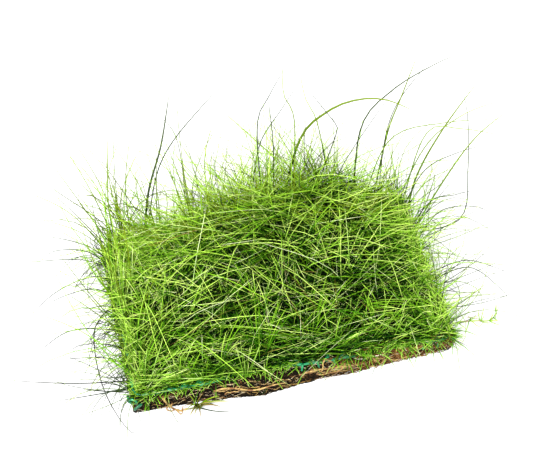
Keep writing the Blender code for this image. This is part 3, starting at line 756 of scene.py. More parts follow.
def strand_template(sides, rings):
    """A straight strand, one unit long and one unit in radius, closed at its foot and ending in a point."""
    bm = bmesh.new()
    bmesh.ops.create_cone(bm, cap_ends=True, segments=sides, radius1=1.0, radius2=1.0, depth=1.0)
    bmesh.ops.translate(bm, vec=(0.0, 0.0, 0.5), verts=bm.verts)
    for ring in range(1, rings):
        everything = bm.verts[:] + bm.edges[:] + bm.faces[:]
        level = (0.0, 0.0, ring / rings)
        bmesh.ops.bisect_plane(bm, geom=everything, plane_co=level, plane_no=(0.0, 0.0, 1.0))
    half_ring = 0.5 / rings
    top = [vert for vert in bm.verts if vert.co.z > 1.0 - half_ring]
    bmesh.ops.pointmerge(bm, verts=top, merge_co=(0.0, 0.0, 1.0))
    layer = bm.loops.layers.uv.new(STRAND_UV)
    for face in bm.faces:
        middle = face.calc_center_median()
        cap = middle.xy.length < ON_AXIS and middle.z < half_ring
        facing = math.atan2(middle.y, middle.x)
        for loop in face.loops:
            place = loop.vert.co
            turn = 0.0
            if place.xy.length > ON_AXIS:
                turn = (math.atan2(place.y, place.x) - facing + math.pi) % math.tau - math.pi
            loop[layer].uv = ((facing + turn) / math.tau, place.z)
            if cap:
                loop[layer].uv = (CAP_WIDTH_IN_MAP * place.x, CAP_HEIGHT_IN_MAP * (1 + place.y))
    return to_mesh(bm, "strand")


def repeated(template, count, name):
    """A mesh with so many copies of a template one after another, all in the same place."""
    carrier = add_object(name, template)
    copies = carrier.modifiers.new("copies", "ARRAY")
    copies.count = count
    copies.use_relative_offset = False
    return finished_mesh(carrier, name)


def across_strands(lines):
    """Two unit vectors square to each centreline at every station, carried along it without a twist."""
    heading = unit(np.gradient(lines, axis=1))
    side = np.cross(heading[:, 0], np.array(OFF_AXIS))
    first = np.empty_like(lines)
    for station in range(lines.shape[1]):
        along = heading[:, station]
        side = unit(side - (side * along).sum(axis=1, keepdims=True) * along)
        first[:, station] = side
    return first, np.cross(heading, first)


def blade_radii(radius, rings):
    """Radii along blades: even for most of the length, then tapering away to the tip."""
    share = np.linspace(0.0, 1.0, rings + 1)
    return radius[:, None] * (1 - share**TAPER_START)[None, :] ** TAPER_END + TIP_RADIUS


def strands(name, lines, radii, tints, finish, rng, sides=BLADE_SIDES, light=None):
    """One mesh of many closed strands, each along its own centreline and in its own tint.

    The radii are those of blades at their feet, or else one for each station. The light at each station,
    where it is given, sets how far up the tint map the strand stands there, as painted light and shade.
    """
    count, stations = lines.shape[:2]
    if np.ndim(radii) == 1:
        radii = blade_radii(np.array(radii), stations - 1)
    template = strand_template(sides, stations - 1)
    corners = np.array([vert.co for vert in template.vertices])
    station = np.rint(corners[:, 2] * (stations - 1)).astype(int)
    reach = np.hypot(corners[:, 0], corners[:, 1])
    turn = np.arctan2(corners[:, 1], corners[:, 0]) + rng.uniform(0, math.tau, (count, 1))
    first, second = across_strands(lines)
    outward = np.cos(turn)[..., None] * first[:, station] + np.sin(turn)[..., None] * second[:, station]
    places = lines[:, station] + outward * (radii[:, station] * reach)[..., None]
    drawn = np.empty(len(template.loops) * 2)
    template.uv_layers[STRAND_UV].data.foreach_get("uv", drawn)
    drawn = np.tile(drawn.reshape(1, -1, 2), (count, 1, 1))
    if light is not None:
        loop_station = np.rint(drawn[0, :, 1] * (stations - 1)).astype(int)
        drawn[..., 1] = drawn[..., 1] * SHARE_ALONG + light[:, loop_station] * (1 - SHARE_ALONG)
    column = TINT_MARGIN + np.clip(tints, 0, 1) * (1 - 2 * TINT_MARGIN)
    drawn[..., 0] = column[:, None] + drawn[..., 0] * STRAND_WIDTH_IN_MAP
    mesh = repeated(template, count, name)
    bpy.data.meshes.remove(template)
    mesh.vertices.foreach_set("co", places.astype(np.float32).ravel())
    mesh.uv_layers[STRAND_UV].data.foreach_set("uv", drawn.astype(np.float32).ravel())
    mesh.materials.append(finish)
    mesh.shade_smooth()
    mesh.update()
    return add_object(name, mesh)


def keep(piece, slot, *nodes):
    """Fixes a finished piece to the mat in place of CAD nodes, which are hidden. The slot is not used."""
    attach(piece, BODY)
    if nodes:
        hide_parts(*nodes)
    return piece


def arcs(feet, bends, tips, rings):
    """Centrelines that leave each foot towards its bend and end at its tip."""
    share = np.linspace(0.0, 1.0, rings + 1)[None, :, None]
    towards_bend = feet[:, None] * (1 - share) + bends[:, None] * share
    towards_tip = bends[:, None] * (1 - share) + tips[:, None] * share
    return towards_bend * (1 - share) + towards_tip * share


def to_edge(places):
    """How far inside the mat's edges each place is: the nearer one along x, and along y."""
    return np.minimum(places[:, :2] - np.array(MAT_LOW)[:2], np.array(MAT_HIGH)[:2] - places[:, :2])


class Tuft:
    """A CAD tuft: where its crown stands, where its locks end and which edges of the mat it is near."""

    def __init__(self, node):
        self.node = node
        bm = merged_copy(node)
        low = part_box(node)[0].z
        self.foot = np.mean([vert.co for vert in bm.verts if vert.co.z < low + CROWN_RING], axis=0)
        tips = lock_tips(bm)
        bm.free()
        away = tips - self.foot
        self.tips = tips[np.argsort(np.arctan2(away[:, 1], away[:, 0]))]
        self.height = np.quantile(self.tips[:, 2], DENSE_QUANTILE) - low
        x, y = self.foot[:2]
        gaps = (x - MAT_LOW.x, MAT_HIGH.x - x, y - NET_LOW.y, MAT_HIGH.y - y)
        sides = zip(("left", "right", "front", "back"), gaps)
        self.sides = [side for side, gap in sides if gap < INNER_CELL]


class Meadow:
    """All the tufts together, and the height of the dense grass over them."""

    def __init__(self):
        names = sorted(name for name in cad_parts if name.startswith("tuft_"))
        self.tufts = [Tuft(name) for name in names]
        self.middles = np.array([tuft.foot[:2] for tuft in self.tufts])
        self.heights = np.array([tuft.height for tuft in self.tufts])

    def canopy(self, places):
        """Height of the dense grass over the net at each place, from the tufts near it."""
        apart = np.linalg.norm(places[:, None, :2] - self.middles[None], axis=2)
        weight = np.exp(-((apart / CANOPY_REACH) ** 2)) + FAR_WEIGHT
        height = (weight * self.heights).sum(axis=1) / weight.sum(axis=1)
        front = np.clip((places[:, 1] - NET_LOW.y) / FRONT_SLOPE, 0.0, 1.0)
        right = np.clip((NET_HIGH.x - places[:, 0]) / RIGHT_SLOPE, 0.0, 1.0)
        height = height * (FRONT_HEIGHT + (1 - FRONT_HEIGHT) * eased(front))
        return height * (RIGHT_HEIGHT + (1 - RIGHT_HEIGHT) * right)

    def light(self, lines):
        """How open to the light each station of each line is, for its painted shade: 0 deep in the thicket, 1
        at its top.
        """
        places = lines.reshape(-1, 3)
        risen = 1 - (self.canopy(places) - places[:, 2] + NET_LOW.z) / LIGHT_DEPTH
        inside = np.maximum(to_edge(places).min(axis=1), 0.0)
        lit = np.maximum(risen, 0.0) + EDGE_LIGHT * np.exp(-inside / EDGE_LIGHT_DEPTH)
        return np.clip(lit, 0.0, 1.0).reshape(lines.shape[:2])

    def young(self, lines, tints, lifts, rng):
        """The same tints and lifts, with most at the sides and the back made young and bright as painted
        backlight.
        """
        tips = lines[:, -1]
        side = to_edge(tips)[:, 0] / BACKLIT_DEPTH
        back = (MAT_HIGH.y - tips[:, 1]) / BACKLIT_DEPTH_BACK
        chosen = rng.random(len(tints)) < np.exp(-np.maximum(np.minimum(side, back), 0.0))
        dry = (rng.random(len(tints)) < DRY_SHARE) & (back < side)
        brighter = np.where(dry, TINTS["dry"], rng.choice(BACKLIT_TINTS, len(tints)))
        brighter = brighter + rng.normal(0.0, BACKLIT_SPREAD, len(tints))
        raised = np.maximum(lifts, rng.uniform(*BACKLIT_LIFT, len(tints)))
        return np.where(chosen, brighter, tints), np.where(chosen, raised, lifts)


def on_mat(feet):
    """The same feet, moved in from the edges and set just under the top of the roots."""
    margin = np.where(feet[:, 0] > OPEN_FRONT_FROM, OPEN_FRONT_MARGIN, FRONT_MARGIN)
    feet[:, 0] = np.clip(feet[:, 0], NET_LOW.x + MM, NET_HIGH.x - MM)
    feet[:, 1] = np.clip(feet[:, 1], NET_LOW.y + margin, NET_HIGH.y - MM)
    feet[:, 2] = NET_LOW.z - FOOT_DEPTH
    return feet


def feet_of(tuft, count, rng):
    """Feet in small clumps over the tuft's own part of the mat."""
    cell = EDGE_CELL if tuft.sides else INNER_CELL
    clumps = tuft.foot[:2] + rng.uniform(-cell, cell, (max(1, count // BLADES_IN_CLUMP), 2))
    feet = np.empty((count, 3))
    feet[:, :2] = clumps[rng.integers(0, len(clumps), count)]
    feet[:, :2] += rng.normal(0.0, CLUMP_SPREAD, (count, 2))
    return on_mat(feet)


def wall_feet(tuft, side, count, rng):
    """Feet in a row along one edge of the mat, over the tuft's own part of it."""
    feet = np.empty((count, 3))
    along = rng.uniform(-INNER_CELL, INNER_CELL, count)
    depth = MM + rng.exponential(WALL_DEPTH, count)
    axis = 0 if side in ("left", "right") else 1
    feet[:, 1 - axis] = tuft.foot[1 - axis] + along
    feet[:, axis] = NET_LOW[axis] + depth if side in ("left", "front") else NET_HIGH[axis] - depth
    return on_mat(feet)


def follow_locks(tuft, count, rng):
    """Blades that run between the tips of the tuft's own locks. Returns feet, bends and tips."""
    feet = feet_of(tuft, count, rng)
    first = rng.integers(0, len(tuft.tips), count)
    share = rng.uniform(*BETWEEN_LOCKS, count)[:, None]
    tips = tuft.tips[first] * (1 - share) + tuft.tips[(first + 1) % len(tuft.tips)] * share
    tips = tips + rng.normal(0.0, 1.0, (count, 3)) * LOCK_STRAY
    reach = tips - feet
    bends = feet + reach * rng.uniform(*LOCK_BEND, (count, 1))
    bends[:, 2] = feet[:, 2] + reach[:, 2] * rng.uniform(*LOCK_BEND_HEIGHT, count)
    return feet, bends, tips


def sway(foot_lean, tip_lean, heading, twist, rings):
    """Centrelines one unit long that lean over from the foot to the tip, turning a little on the way."""
    share = np.linspace(0.0, 1.0, rings + 1)[None, :]
    bent = eased(np.clip((share - BEND_START) / BEND_LENGTH, 0.0, 1.0))
    lean = foot_lean[:, None] + (tip_lean - foot_lean)[:, None] * bent
    facing = heading[:, None] + twist[:, None] * share
    steps = np.stack([np.sin(lean) * np.cos(facing), np.sin(lean) * np.sin(facing), np.cos(lean)], axis=2)
    halfway = (steps[:, 1:] + steps[:, :-1]) / (2 * rings)
    return np.concatenate([np.zeros((len(heading), 1, 3)), np.cumsum(halfway, axis=1)], axis=1)


def grown(feet, meadow, habit, rng, toward=(1.0, 0.0), fan=math.pi):
    """Centrelines of blades of one habit, as high as the dense grass lets them grow."""
    count = len(feet)
    foot_lean = np.radians(rng.uniform(*habit.lean, count))
    tip_lean = foot_lean + np.radians(rng.uniform(*habit.bend, count))
    heading = math.atan2(toward[1], toward[0]) + rng.uniform(-fan, fan, count)
    shape = sway(foot_lean, tip_lean, heading, rng.normal(0, TWIST, count), BLADE_RINGS)
    highest = shape[..., 2].max(axis=1)
    length = np.minimum(meadow.canopy(feet) * rng.uniform(*habit.rise, count) / highest, LONGEST_BLADE)
    return feet[:, None] + shape * length[:, None, None]


def radiating(feet, lean, bend, toward, fan, lengths, rng, twist=TWIST):
    """Centrelines of blades of given lengths, in millimetres, that spread from their feet towards a side."""
    count = len(feet)
    heading = math.atan2(toward[1], toward[0]) + rng.uniform(-fan, fan, count)
    foot_lean = np.radians(rng.uniform(*lean, count))
    tip_lean = foot_lean + np.radians(rng.uniform(*bend, count))
    shape = sway(foot_lean, tip_lean, heading, rng.normal(0, twist, count), BLADE_RINGS)
    return feet[:, None] + shape * (rng.uniform(*lengths, count) * MM)[:, None, None]


def stray(tuft, wisps, rng):
    """Centrelines of thin wisps from an edge tuft out past the mat, longer where the tuft is higher."""
    feet = feet_of(tuft, wisps.count, rng)
    lengths = np.array(wisps.length) * math.sqrt(tuft.height / USUAL_HEIGHT)
    return radiating(feet, wisps.lean, wisps.bend, wisps.toward, wisps.fan, lengths, rng, twist=WISP_TWIST)


def kept_inside(lines, rng):
    """Turns most of the blades that lean out too far past an edge.

    They stand up, lean in or, at the front and the back, run along the edge instead.
    """
    low = np.array((NET_LOW.x - LEFT_OVERHANG, NET_LOW.y - FRONT_OVERHANG))
    tips = lines[:, -1, :2]
    high = np.empty_like(tips)
    high[:, 0] = NET_HIGH.x + np.interp(tips[:, 1], *np.transpose(RIGHT_OVERHANG) * MM)
    high[:, 1] = NET_HIGH.y + np.interp(tips[:, 0], *np.transpose(BACK_OVERHANG) * MM)
    past = (tips < low) | (tips > high)
    turned = past & (rng.random((len(lines), 1)) < KEPT_INSIDE)
    turned[:, 1] |= tips[:, 1] < low[1]
    feet = lines[:, :1, :2]
    reach = lines[..., :2] - feet
    back = reach * rng.uniform(*TURNED_BACK, (len(lines), 1, 1))
    way = rng.uniform(-1.0, 1.0, len(lines))
    way = np.where(feet[:, 0, 0] < NET_LOW.x + CORNER, np.abs(way), way)
    way = np.where(feet[:, 0, 0] > NET_HIGH.x - CORNER, -np.abs(way), way)
    lines[..., :2] = feet + np.where(turned[:, None], back, reach)
    lines[..., 0] += np.where(turned[:, 1:], np.abs(reach[..., 1]) * way[:, None], 0.0)
    return lines


def fit_inside(lines):
    """Shortens the strands that would reach past the space round the mat."""
    low = np.array(cad_box[0]) - ROOM_OUTSIDE
    high = np.array(cad_box[1]) + ROOM_OUTSIDE
    feet = lines[:, :1]
    reach = lines - feet
    room = np.where(reach > 0, high - feet, feet - low)
    over = (np.abs(reach) / room).max(axis=1)
    over[:, 2] = (reach[..., 2] / (high[2] - feet[..., 2])).max(axis=1)
    return feet + reach / np.maximum(over.max(axis=1), 1.0)[:, None, None]


def settle(lines):
    """Keeps strands above the surface that the mat lies on."""
    lines[..., 2] = np.maximum(lines[..., 2], SURFACE)
    return lines


def build_tuft(tuft, meadow, settings, finish, rng):
    """The fine blades of one tuft, in place of its CAD locks."""
    total = settings.edge_count if tuft.sides else settings.inner_count
    total = round(total * max(1.0, tuft.height / USUAL_HEIGHT))
    followers = int(FOLLOWERS * total)
    lines = [arcs(*follow_locks(tuft, followers, rng), BLADE_RINGS)]
    radii = [settings.radius * rng.uniform(*FOLLOWER_RADIUS, followers)]
    tints = [rng.normal(*FOLLOWER_TINT, followers)]
    lifts = [rng.uniform(*FOLLOWER_LIFT, followers)]

    def add(feet, habit, **way):
        lines.append(grown(feet, meadow, habit, rng, **way))
        radii.append(settings.radius * rng.uniform(*habit.radius, len(feet)))
        tints.append(rng.normal(habit.tint, habit.spread, len(feet)))
        lifts.append(np.clip(rng.normal(habit.lift, LIFT_SPREAD, len(feet)), 0.0, 1.0))

    for habit in HABITS:
        add(feet_of(tuft, max(1, round(habit.share * (total - followers))), rng), habit)
    for side in tuft.sides:
        wall = WALLS[side]
        add(wall_feet(tuft, side, wall.count, rng), wall.habit, toward=wall.toward, fan=wall.fan)
    lines = [kept_inside(np.concatenate(lines), rng)]
    dense = meadow.young(lines[0], np.concatenate(tints), np.concatenate(lifts), rng)
    tints, lifts = ([kept] for kept in dense)
    for wisps in (wisps for side in tuft.sides for wisps in WISPS[side]):
        if wisps.where[0] < tuft.foot[0] / MM < wisps.where[1]:
            lines.append(stray(tuft, wisps, rng))
            radii.append(settings.wisp_radius * rng.uniform(*wisps.radius, wisps.count))
            tints.append(rng.choice(wisps.tints, wisps.count) + rng.normal(0.0, TINT_JITTER, wisps.count))
            lifts.append(np.ones(wisps.count))
    lines = settle(fit_inside(np.concatenate(lines)))
    light = meadow.light(lines)
    light += (1 - light) * np.concatenate(lifts)[:, None]
    name = tuft.node.replace("tuft", "blades")
    radii, tints = np.concatenate(radii), np.concatenate(tints)
    return keep(strands(name, lines, radii, tints, finish, rng, light=light), "grass", tuft.node)


def lit(least, at_foot, count, rng):
    """The painted light along blades in the open, each from a least share up and with a little painted shade
    at its foot.
    """
    return rng.uniform(least, 1.0, (count, 1)) * np.linspace(at_foot, 1.0, BLADE_RINGS + 1)


def build_skirt(number, skirt, settings, finish, rng):
    """Short shoots out of one side of the mat."""
    count, habit = skirt.count, skirt.habit
    share = rng.random((count, 1))
    corner, across = np.array(NET_LOW)[:2], np.array(NET_HIGH)[:2] - np.array(NET_LOW)[:2]
    feet = np.empty((count, 3))
    feet[:, :2] = corner + across * (np.array(skirt.start) * (1 - share) + np.array(skirt.end) * share)
    feet[:, :2] += -unit(np.array(skirt.toward)) * rng.uniform(0.0, SKIRT_WIDTH, (count, 1)) * MM
    feet[:, 2] = NET_LOW.z - rng.uniform(*skirt.depth, count) * MM
    lines = settle(radiating(feet, habit.lean, habit.bend, skirt.toward, skirt.fan, skirt.lengths, rng))
    radii = settings.radius * rng.uniform(*habit.radius, count)
    tints = rng.normal(habit.tint, habit.spread, count)
    light = lit(habit.lift, SKIRT_FOOT_LIGHT, count, rng)
    return keep(strands(f"skirt_{number}", lines, radii, tints, finish, rng, light=light), "grass")


def build_fans(settings, finish, rng):
    """Plants that spread from one point along the front edge."""
    lines, count = [], sum(fan.count for fan in FANS)
    for fan in FANS:
        feet = np.array(fan.place) * MM + rng.normal(0.0, FAN_FOOT_SPREAD, (fan.count, 3)) * MM
        lines.append(radiating(feet, fan.lean, FAN_BEND, fan.toward, fan.fan, fan.lengths, rng))
    lines = settle(kept_inside(np.concatenate(lines), rng))
    radii = settings.radius * rng.uniform(*FAN_RADIUS, count)
    tints = rng.normal(*FAN_TINT, count)
    light = lit(FAN_LIGHT, FAN_FOOT_LIGHT, count, rng)
    return keep(strands("front_fans", lines, radii, tints, finish, rng, light=light), "grass")


def through(points, rings):
    """A smooth centreline through points in millimetres, with its stations evenly spread."""
    known = np.array(points, float) * MM
    ends = np.concatenate([2 * known[:1] - known[1:2], known, 2 * known[-1:] - known[-2:-1]])
    fine = []
    t = np.linspace(0.0, 1.0, SPAN_SAMPLES + 1)[:-1, None]
    for before, here, there, after in zip(ends, ends[1:], ends[2:], ends[3:]):
        fine.append(
            here
            + (there - before) * t / 2
            + (before - 2.5 * here + 2 * there - after / 2) * t**2
            + (1.5 * (here - there) + (after - before) / 2) * t**3
        )
    fine = np.concatenate([*fine, known[-1:]])
    run = np.concatenate([[0.0], np.cumsum(np.linalg.norm(np.diff(fine, axis=0), axis=1))])
    return along_route(fine, run, np.linspace(0.0, run[-1], rings + 1))


def along_route(route, marks, stations):
    """The places along a route at given stations, where its points stand at the marks."""
    return np.stack([np.interp(stations, marks, route[:, axis]) for axis in range(3)], axis=1)


def build_long_blade(node, meadow, finish, rng):
    """An overgrown blade and the strays that belong with it."""
    tints, radii, routes = zip(*STRAYS[node])
    lines = settle(np.array([through(route, LONG_RINGS) for route in routes]))
    radii = STRAY_GROWTH * np.array(radii) * MM
    name = node.replace("long_blade", "long")
    piece = strands(name, lines, radii, tints, finish, rng, LONG_SIDES, meadow.light(lines))
    return keep(piece, "long_grass", node)


def node_route(node):
    """The centreline of a CAD tube in millimetres: the middles of slices across it, from low x to high x."""
    bm = merged_copy(node)
    corners = np.array([vert.co for vert in bm.verts])
    bm.free()
    along = corners[:, 0]
    edges = np.linspace(along.min(), along.max(), RUNNER_SLICES + 1)
    slices = (corners[(along >= low) & (along <= high)] for low, high in zip(edges, edges[1:]))
    return np.array([inside.mean(axis=0) for inside in slices if len(inside)]) / MM


def wander(line, reach, rng):
    """A line that strays a little from another, in slow waves."""
    share = np.linspace(0.0, 1.0, len(line))[:, None]
    waves = sum(
        rng.normal(0.0, reach / turn, (1, 3)) * np.sin(math.pi * turn * share + rng.uniform(0, 6, (1, 3)))
        for turn in WAVES
    )
    return line + waves


def build_runner(runner, finish, rng):
    """A creeping stem with swollen nodes, with thinner stems and rootlets that wander along it."""
    radius = runner.radius * MM
    route = through(node_route(runner.node), RUNNER_RINGS)
    lines = [wander(route, STEM_STRAY, rng)]
    share = np.linspace(0.0, 1.0, RUNNER_RINGS + 1)
    from_node = (share * RUNNER_NODES) % 1.0 - 0.5
    swollen = 1 + SWELLING * np.exp(-(from_node**2) / SWELLING_WIDTH)
    radii = [radius * swollen * (1 - STEM_TAPER * share**3)]
    for _ in range(runner.companions):
        first, last = sorted(rng.uniform(0.0, 1.0, 2))
        last = min(first + max(last - first, SHORTEST_COMPANION), 1.0)
        part = along_route(route, share, np.linspace(first, last, RUNNER_RINGS + 1))
        lines.append(wander(part, runner.stray * MM, rng))
        radii.append(radius * rng.uniform(*COMPANION_RADIUS) * (1 - COMPANION_TAPER * share**2))
    lines = settle(np.array(lines))
    tints = rng.uniform(0.1, 0.9, len(lines))
    piece = strands(runner.node + "_stems", lines, np.array(radii), tints, finish, rng, RUNNER_SIDES)
    return keep(piece, runner.slot, runner.node)


def side_leaves(settings, finish, rng):
    """Small leaves and rootlets at the nodes of the side runner."""
    route = through(node_route("side_runner"), RUNNER_RINGS)
    at = np.repeat((np.array(LEAF_NODES) * RUNNER_RINGS).astype(int), LEAVES_AT_NODE)
    feet = route[at] + rng.normal(0.0, LEAF_FOOT_SPREAD, (len(at), 3))
    lines = settle(radiating(feet, LEAF_LEAN, LEAF_BEND, LEAF_TOWARD, LEAF_FAN, LEAF_LENGTHS, rng))
    radii = settings.radius * rng.uniform(*LEAF_RADIUS, len(at))
    tints = rng.normal(*LEAF_TINT, len(at))
    light = np.ones(lines.shape[:2])
    piece = strands("side_runner_leaves", lines, radii, tints, finish, rng, light=light)
    return keep(piece, "young_runner")


def build_plantlet(finish, rng):
    """The loose plantlet: a small bunch of blades in place of its CAD shoots, and its root tails."""
    bm = merged_copy("loose_plantlet")
    tips = lock_tips(bm)
    bm.free()
    foot = np.array((*PLANTLET_FOOT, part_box("loose_plantlet")[0].z / MM + 1.0)) * MM
    count = PLANTLET_SHOOTS
    chosen = tips[np.arange(count) % len(tips)] + rng.normal(0.0, 1.0, (count, 3)) * PLANTLET_TIP_SPREAD
    feet = foot + rng.normal(0.0, PLANTLET_FOOT_SPREAD, (count, 3))
    reach = chosen - feet
    bends = feet + reach * PLANTLET_BEND
    bends[:, 2] += np.linalg.norm(reach, axis=1) * PLANTLET_RISE
    tails = [through(tail, LONG_RINGS) for tail in ROOT_TAILS]
    lines = settle(np.concatenate([arcs(feet, bends, chosen, LONG_RINGS), tails]))
    radii = [*rng.uniform(*PLANTLET_RADIUS, count) * MM, *[TAIL_RADIUS * MM] * len(tails)]
    tints = rng.choice(PLANTLET_TINTS, count) + rng.normal(0.0, TINT_JITTER, count)
    tints = np.append(tints, [TINTS["grey"]] * len(tails))
    light = np.ones(lines.shape[:2])
    piece = strands("plantlet_blades", lines, radii, tints, finish, rng, LONG_SIDES, light)
    return keep(piece, "grass", "loose_plantlet")


def build_root_mat(settings):
    """The slab of matted roots: ragged round the CAD slab, flat underneath. Returns the CAD slab's skin."""
    shape = merged_copy("root_mat")
    skin = BVHTree.FromBMesh(shape)
    shape.free()
    bm = bmesh.new()
    bmesh.ops.create_cube(bm, size=1.0)
    bmesh.ops.scale(bm, vec=MAT_HIGH - MAT_LOW, verts=bm.verts)
    bmesh.ops.translate(bm, vec=(MAT_LOW + MAT_HIGH) / 2, verts=bm.verts)
    for axis, cuts in enumerate(SLAB_CUTS):
        ways = ((edge, edge.verts[0].co - edge.verts[1].co) for edge in bm.edges)
        along = [edge for edge, way in ways if abs(way.normalized()[axis]) > 0.5]
        bmesh.ops.subdivide_edges(bm, edges=along, cuts=cuts, use_grid_fill=True)
    for vert in bm.verts:
        place, normal, _, _ = skin.find_nearest(vert.co)
        coarse = noise.fractal(place / COARSE_LUMP, 1.0, 2.0, 2)
        fine = noise.noise(Vector(part / lump for part, lump in zip(place, FINE_LUMP)) / MM)
        if vert.co.z < MAT_LOW.z + MERGE:
            vert.co = place + Vector((0.0, 0.0, UNDERSIDE_RAISE * MM * (1 + fine)))
        else:
            vert.co = place + normal * MM * min(COARSE_RAISE * coarse + FINE_RAISE * fine - SUNK, PROUD)
    bmesh.ops.recalc_face_normals(bm, faces=bm.faces)
    mesh = to_mesh(bm, "matted_roots")
    mesh.materials.append(soil_finish(settings))
    mesh.shade_smooth()
    keep(add_object("matted_roots", mesh), "roots", "root_mat")
    return skin


def crawl(skin, start, heading, step, lift, rng):
    """A line that wanders over the root mat, a little above its skin."""
    line = []
    place = start
    for _ in range(FIBRE_STEPS):
        heading = (heading + Vector(rng.normal(0.0, FIBRE_TURN, 3))).normalized()
        place, normal, _, _ = skin.find_nearest(place + heading * step)
        heading = heading - normal * heading.dot(normal)
        line.append(place + normal * lift * rng.uniform(*FIBRE_HUG))
    return line


def build_fibres(settings, skin, rng):
    """Fine roots that lie matted over the sides and top of the slab."""
    size = MAT_HIGH - MAT_LOW
    lines, radii, tints = [], [], []
    for _ in range(settings.fibre_count):
        start = MAT_LOW + Vector(extent * share for extent, share in zip(size, rng.random(3)))
        face = rng.choice(len(FIBRE_FACES), p=FACE_ODDS)
        axis, level = FIBRE_FACES[face]
        start[axis] = level
        along = Vector((1.0, 0.0, 0.0)) if axis == 1 else Vector((0.0, 1.0, 0.0))
        heading = along * rng.choice((-1, 1)) + Vector(rng.normal(0.0, FIBRE_AIM, 3))
        loose = min(max((start.x - LOOSE_FROM_X) / LOOSE_OVER, 0.0), 1.0) if face == 0 else 0.0
        lift = FIBRE_LIFT + (LOOSE_LIFT - FIBRE_LIFT) * loose
        lines.append(crawl(skin, start, heading, rng.uniform(*FIBRE_STEP) * MM, lift, rng))
        pale = rng.random() < PALE_FIBRES
        radii.append(settings.fibre_radius * rng.uniform(*(PALE_RADIUS if pale else FIBRE_RADIUS)))
        tint = FIBRE_TINT + LOOSE_TINT * loose
        tints.append(rng.uniform(*PALE_TINT) if pale else rng.normal(tint, FIBRE_TINT_SPREAD))
    lines, radii, tints = settle(np.array(lines)), np.array(radii), np.array(tints)
    whole = np.linalg.norm(np.diff(lines, axis=1), axis=2).min(axis=1) > SHORTEST_STEP
    piece = strands("root_fibres", lines[whole], radii[whole], tints[whole], fibre_finish(settings), rng)
    return keep(piece, "roots")


def edges_at(verts):
    """The edges that meet corners, each one once."""
    return list(dict.fromkeys(edge for vert in verts for edge in vert.link_edges))


def add_loop(bm, centre, radius, facing, thickness):
    """A closed ring of strand."""
    profile = bmesh.ops.create_circle(bm, segments=ROUND_SEGMENTS, radius=thickness)["verts"]
    bmesh.ops.rotate(bm, verts=profile, matrix=Matrix.Rotation(math.pi / 2, 3, "X"))
    bmesh.ops.translate(bm, verts=profile, vec=(radius, 0.0, 0.0))
    geom = profile + edges_at(profile)
    spun = bmesh.ops.spin(bm, geom=geom, cent=(0, 0, 0), axis=(0, 0, 1), angle=math.tau, steps=LOOP_STEPS)
    ring = [*profile, *(part for part in spun["geom_last"] if isinstance(part, bmesh.types.BMVert))]
    known = set(ring)
    for vert in ring:
        near = [other for edge in vert.link_edges for other in edge.verts if other not in known]
        ring += near
        known.update(near)
    bmesh.ops.rotate(bm, verts=ring, matrix=facing.to_track_quat("Z", "Y").to_matrix())
    bmesh.ops.translate(bm, verts=ring, vec=centre)
    bmesh.ops.remove_doubles(bm, verts=ring, dist=MERGE)


def add_stub(bm, place, direction, thickness):
    """A cut end of strand."""
    made = bmesh.ops.create_cone(
        bm,
        cap_ends=True,
        segments=ROUND_SEGMENTS,
        radius1=thickness,
        radius2=thickness * STUB_TAPER,
        depth=NET_STUB_LENGTH,
        matrix=Matrix.Translation(place) @ direction.to_track_quat("Z", "Y").to_matrix().to_4x4(),
    )
    rims, offset = edges_at(made["verts"]), STUB_BEVEL * thickness
    bmesh.ops.bevel(bm, geom=rims, offset=offset, segments=1, affect="EDGES", profile=0.5, material=-1)


def build_net(settings):
    """The carrier net at its real pitch, with rounded strands that sag and wander a little."""
    size = NET_HIGH - NET_LOW
    columns, rows = round(size.x / settings.pitch), round(size.y / settings.pitch)
    bm = bmesh.new()
    bmesh.ops.create_grid(bm, x_segments=columns, y_segments=rows, size=0.5)
    bmesh.ops.scale(bm, vec=(size.x - settings.strand, size.y - settings.strand, 1.0), verts=bm.verts)
    noise.seed_set(SEED)
    for vert in bm.verts:
        shift = noise.noise_vector(vert.co / NET_WANDER_WAVE)
        buried = any(low < vert.co.x < high for low, high in NET_BURIED) and vert.co.y < -size.y / 2 + MM
        vert.co += Vector(reach * part for reach, part in zip(NET_WANDER, shift)) * MM
        if vert.co.y < -size.y / 2 + 2 * MM:
            vert.co.z += NET_SAG * noise.noise(vert.co / NET_SAG_WAVE) * MM
            vert.co.y -= NET_FRONT_OUT
        if buried:
            vert.co += Vector(NET_SUNK) * MM
        vert.co.z += (NET_LOW.z + NET_HIGH.z) / 2
    made = add_object("net", to_mesh(bm, "net"))
    strand = made.modifiers.new("strands", "WIREFRAME")
    strand.thickness = settings.strand
    strand.use_boundary = True
    strand.use_replace = True
    strand.use_even_offset = False
    smooth = made.modifiers.new("rounded", "SUBSURF")
    smooth.levels = smooth.render_levels = 1
    mesh = finished_mesh(made, "net_strands")
    bm = bmesh.new()
    bm.from_mesh(mesh)
    for centre, radius, facing in NET_LOOPS:
        thickness = settings.strand * LOOP_THICKNESS
        add_loop(bm, Vector(centre) * MM, radius * MM, Vector(facing).normalized(), thickness)
    for place, direction in NET_STUBS:
        thickness = settings.strand * STUB_THICKNESS
        add_stub(bm, Vector(place) * MM, Vector(direction).normalized(), thickness)
    bm.to_mesh(mesh)
    bm.free()
    mesh.materials.clear()
    mesh.materials.append(net_finish(settings))
    mesh.shade_smooth()
    return keep(add_object("net_strands", mesh), "net", "carrier_net")


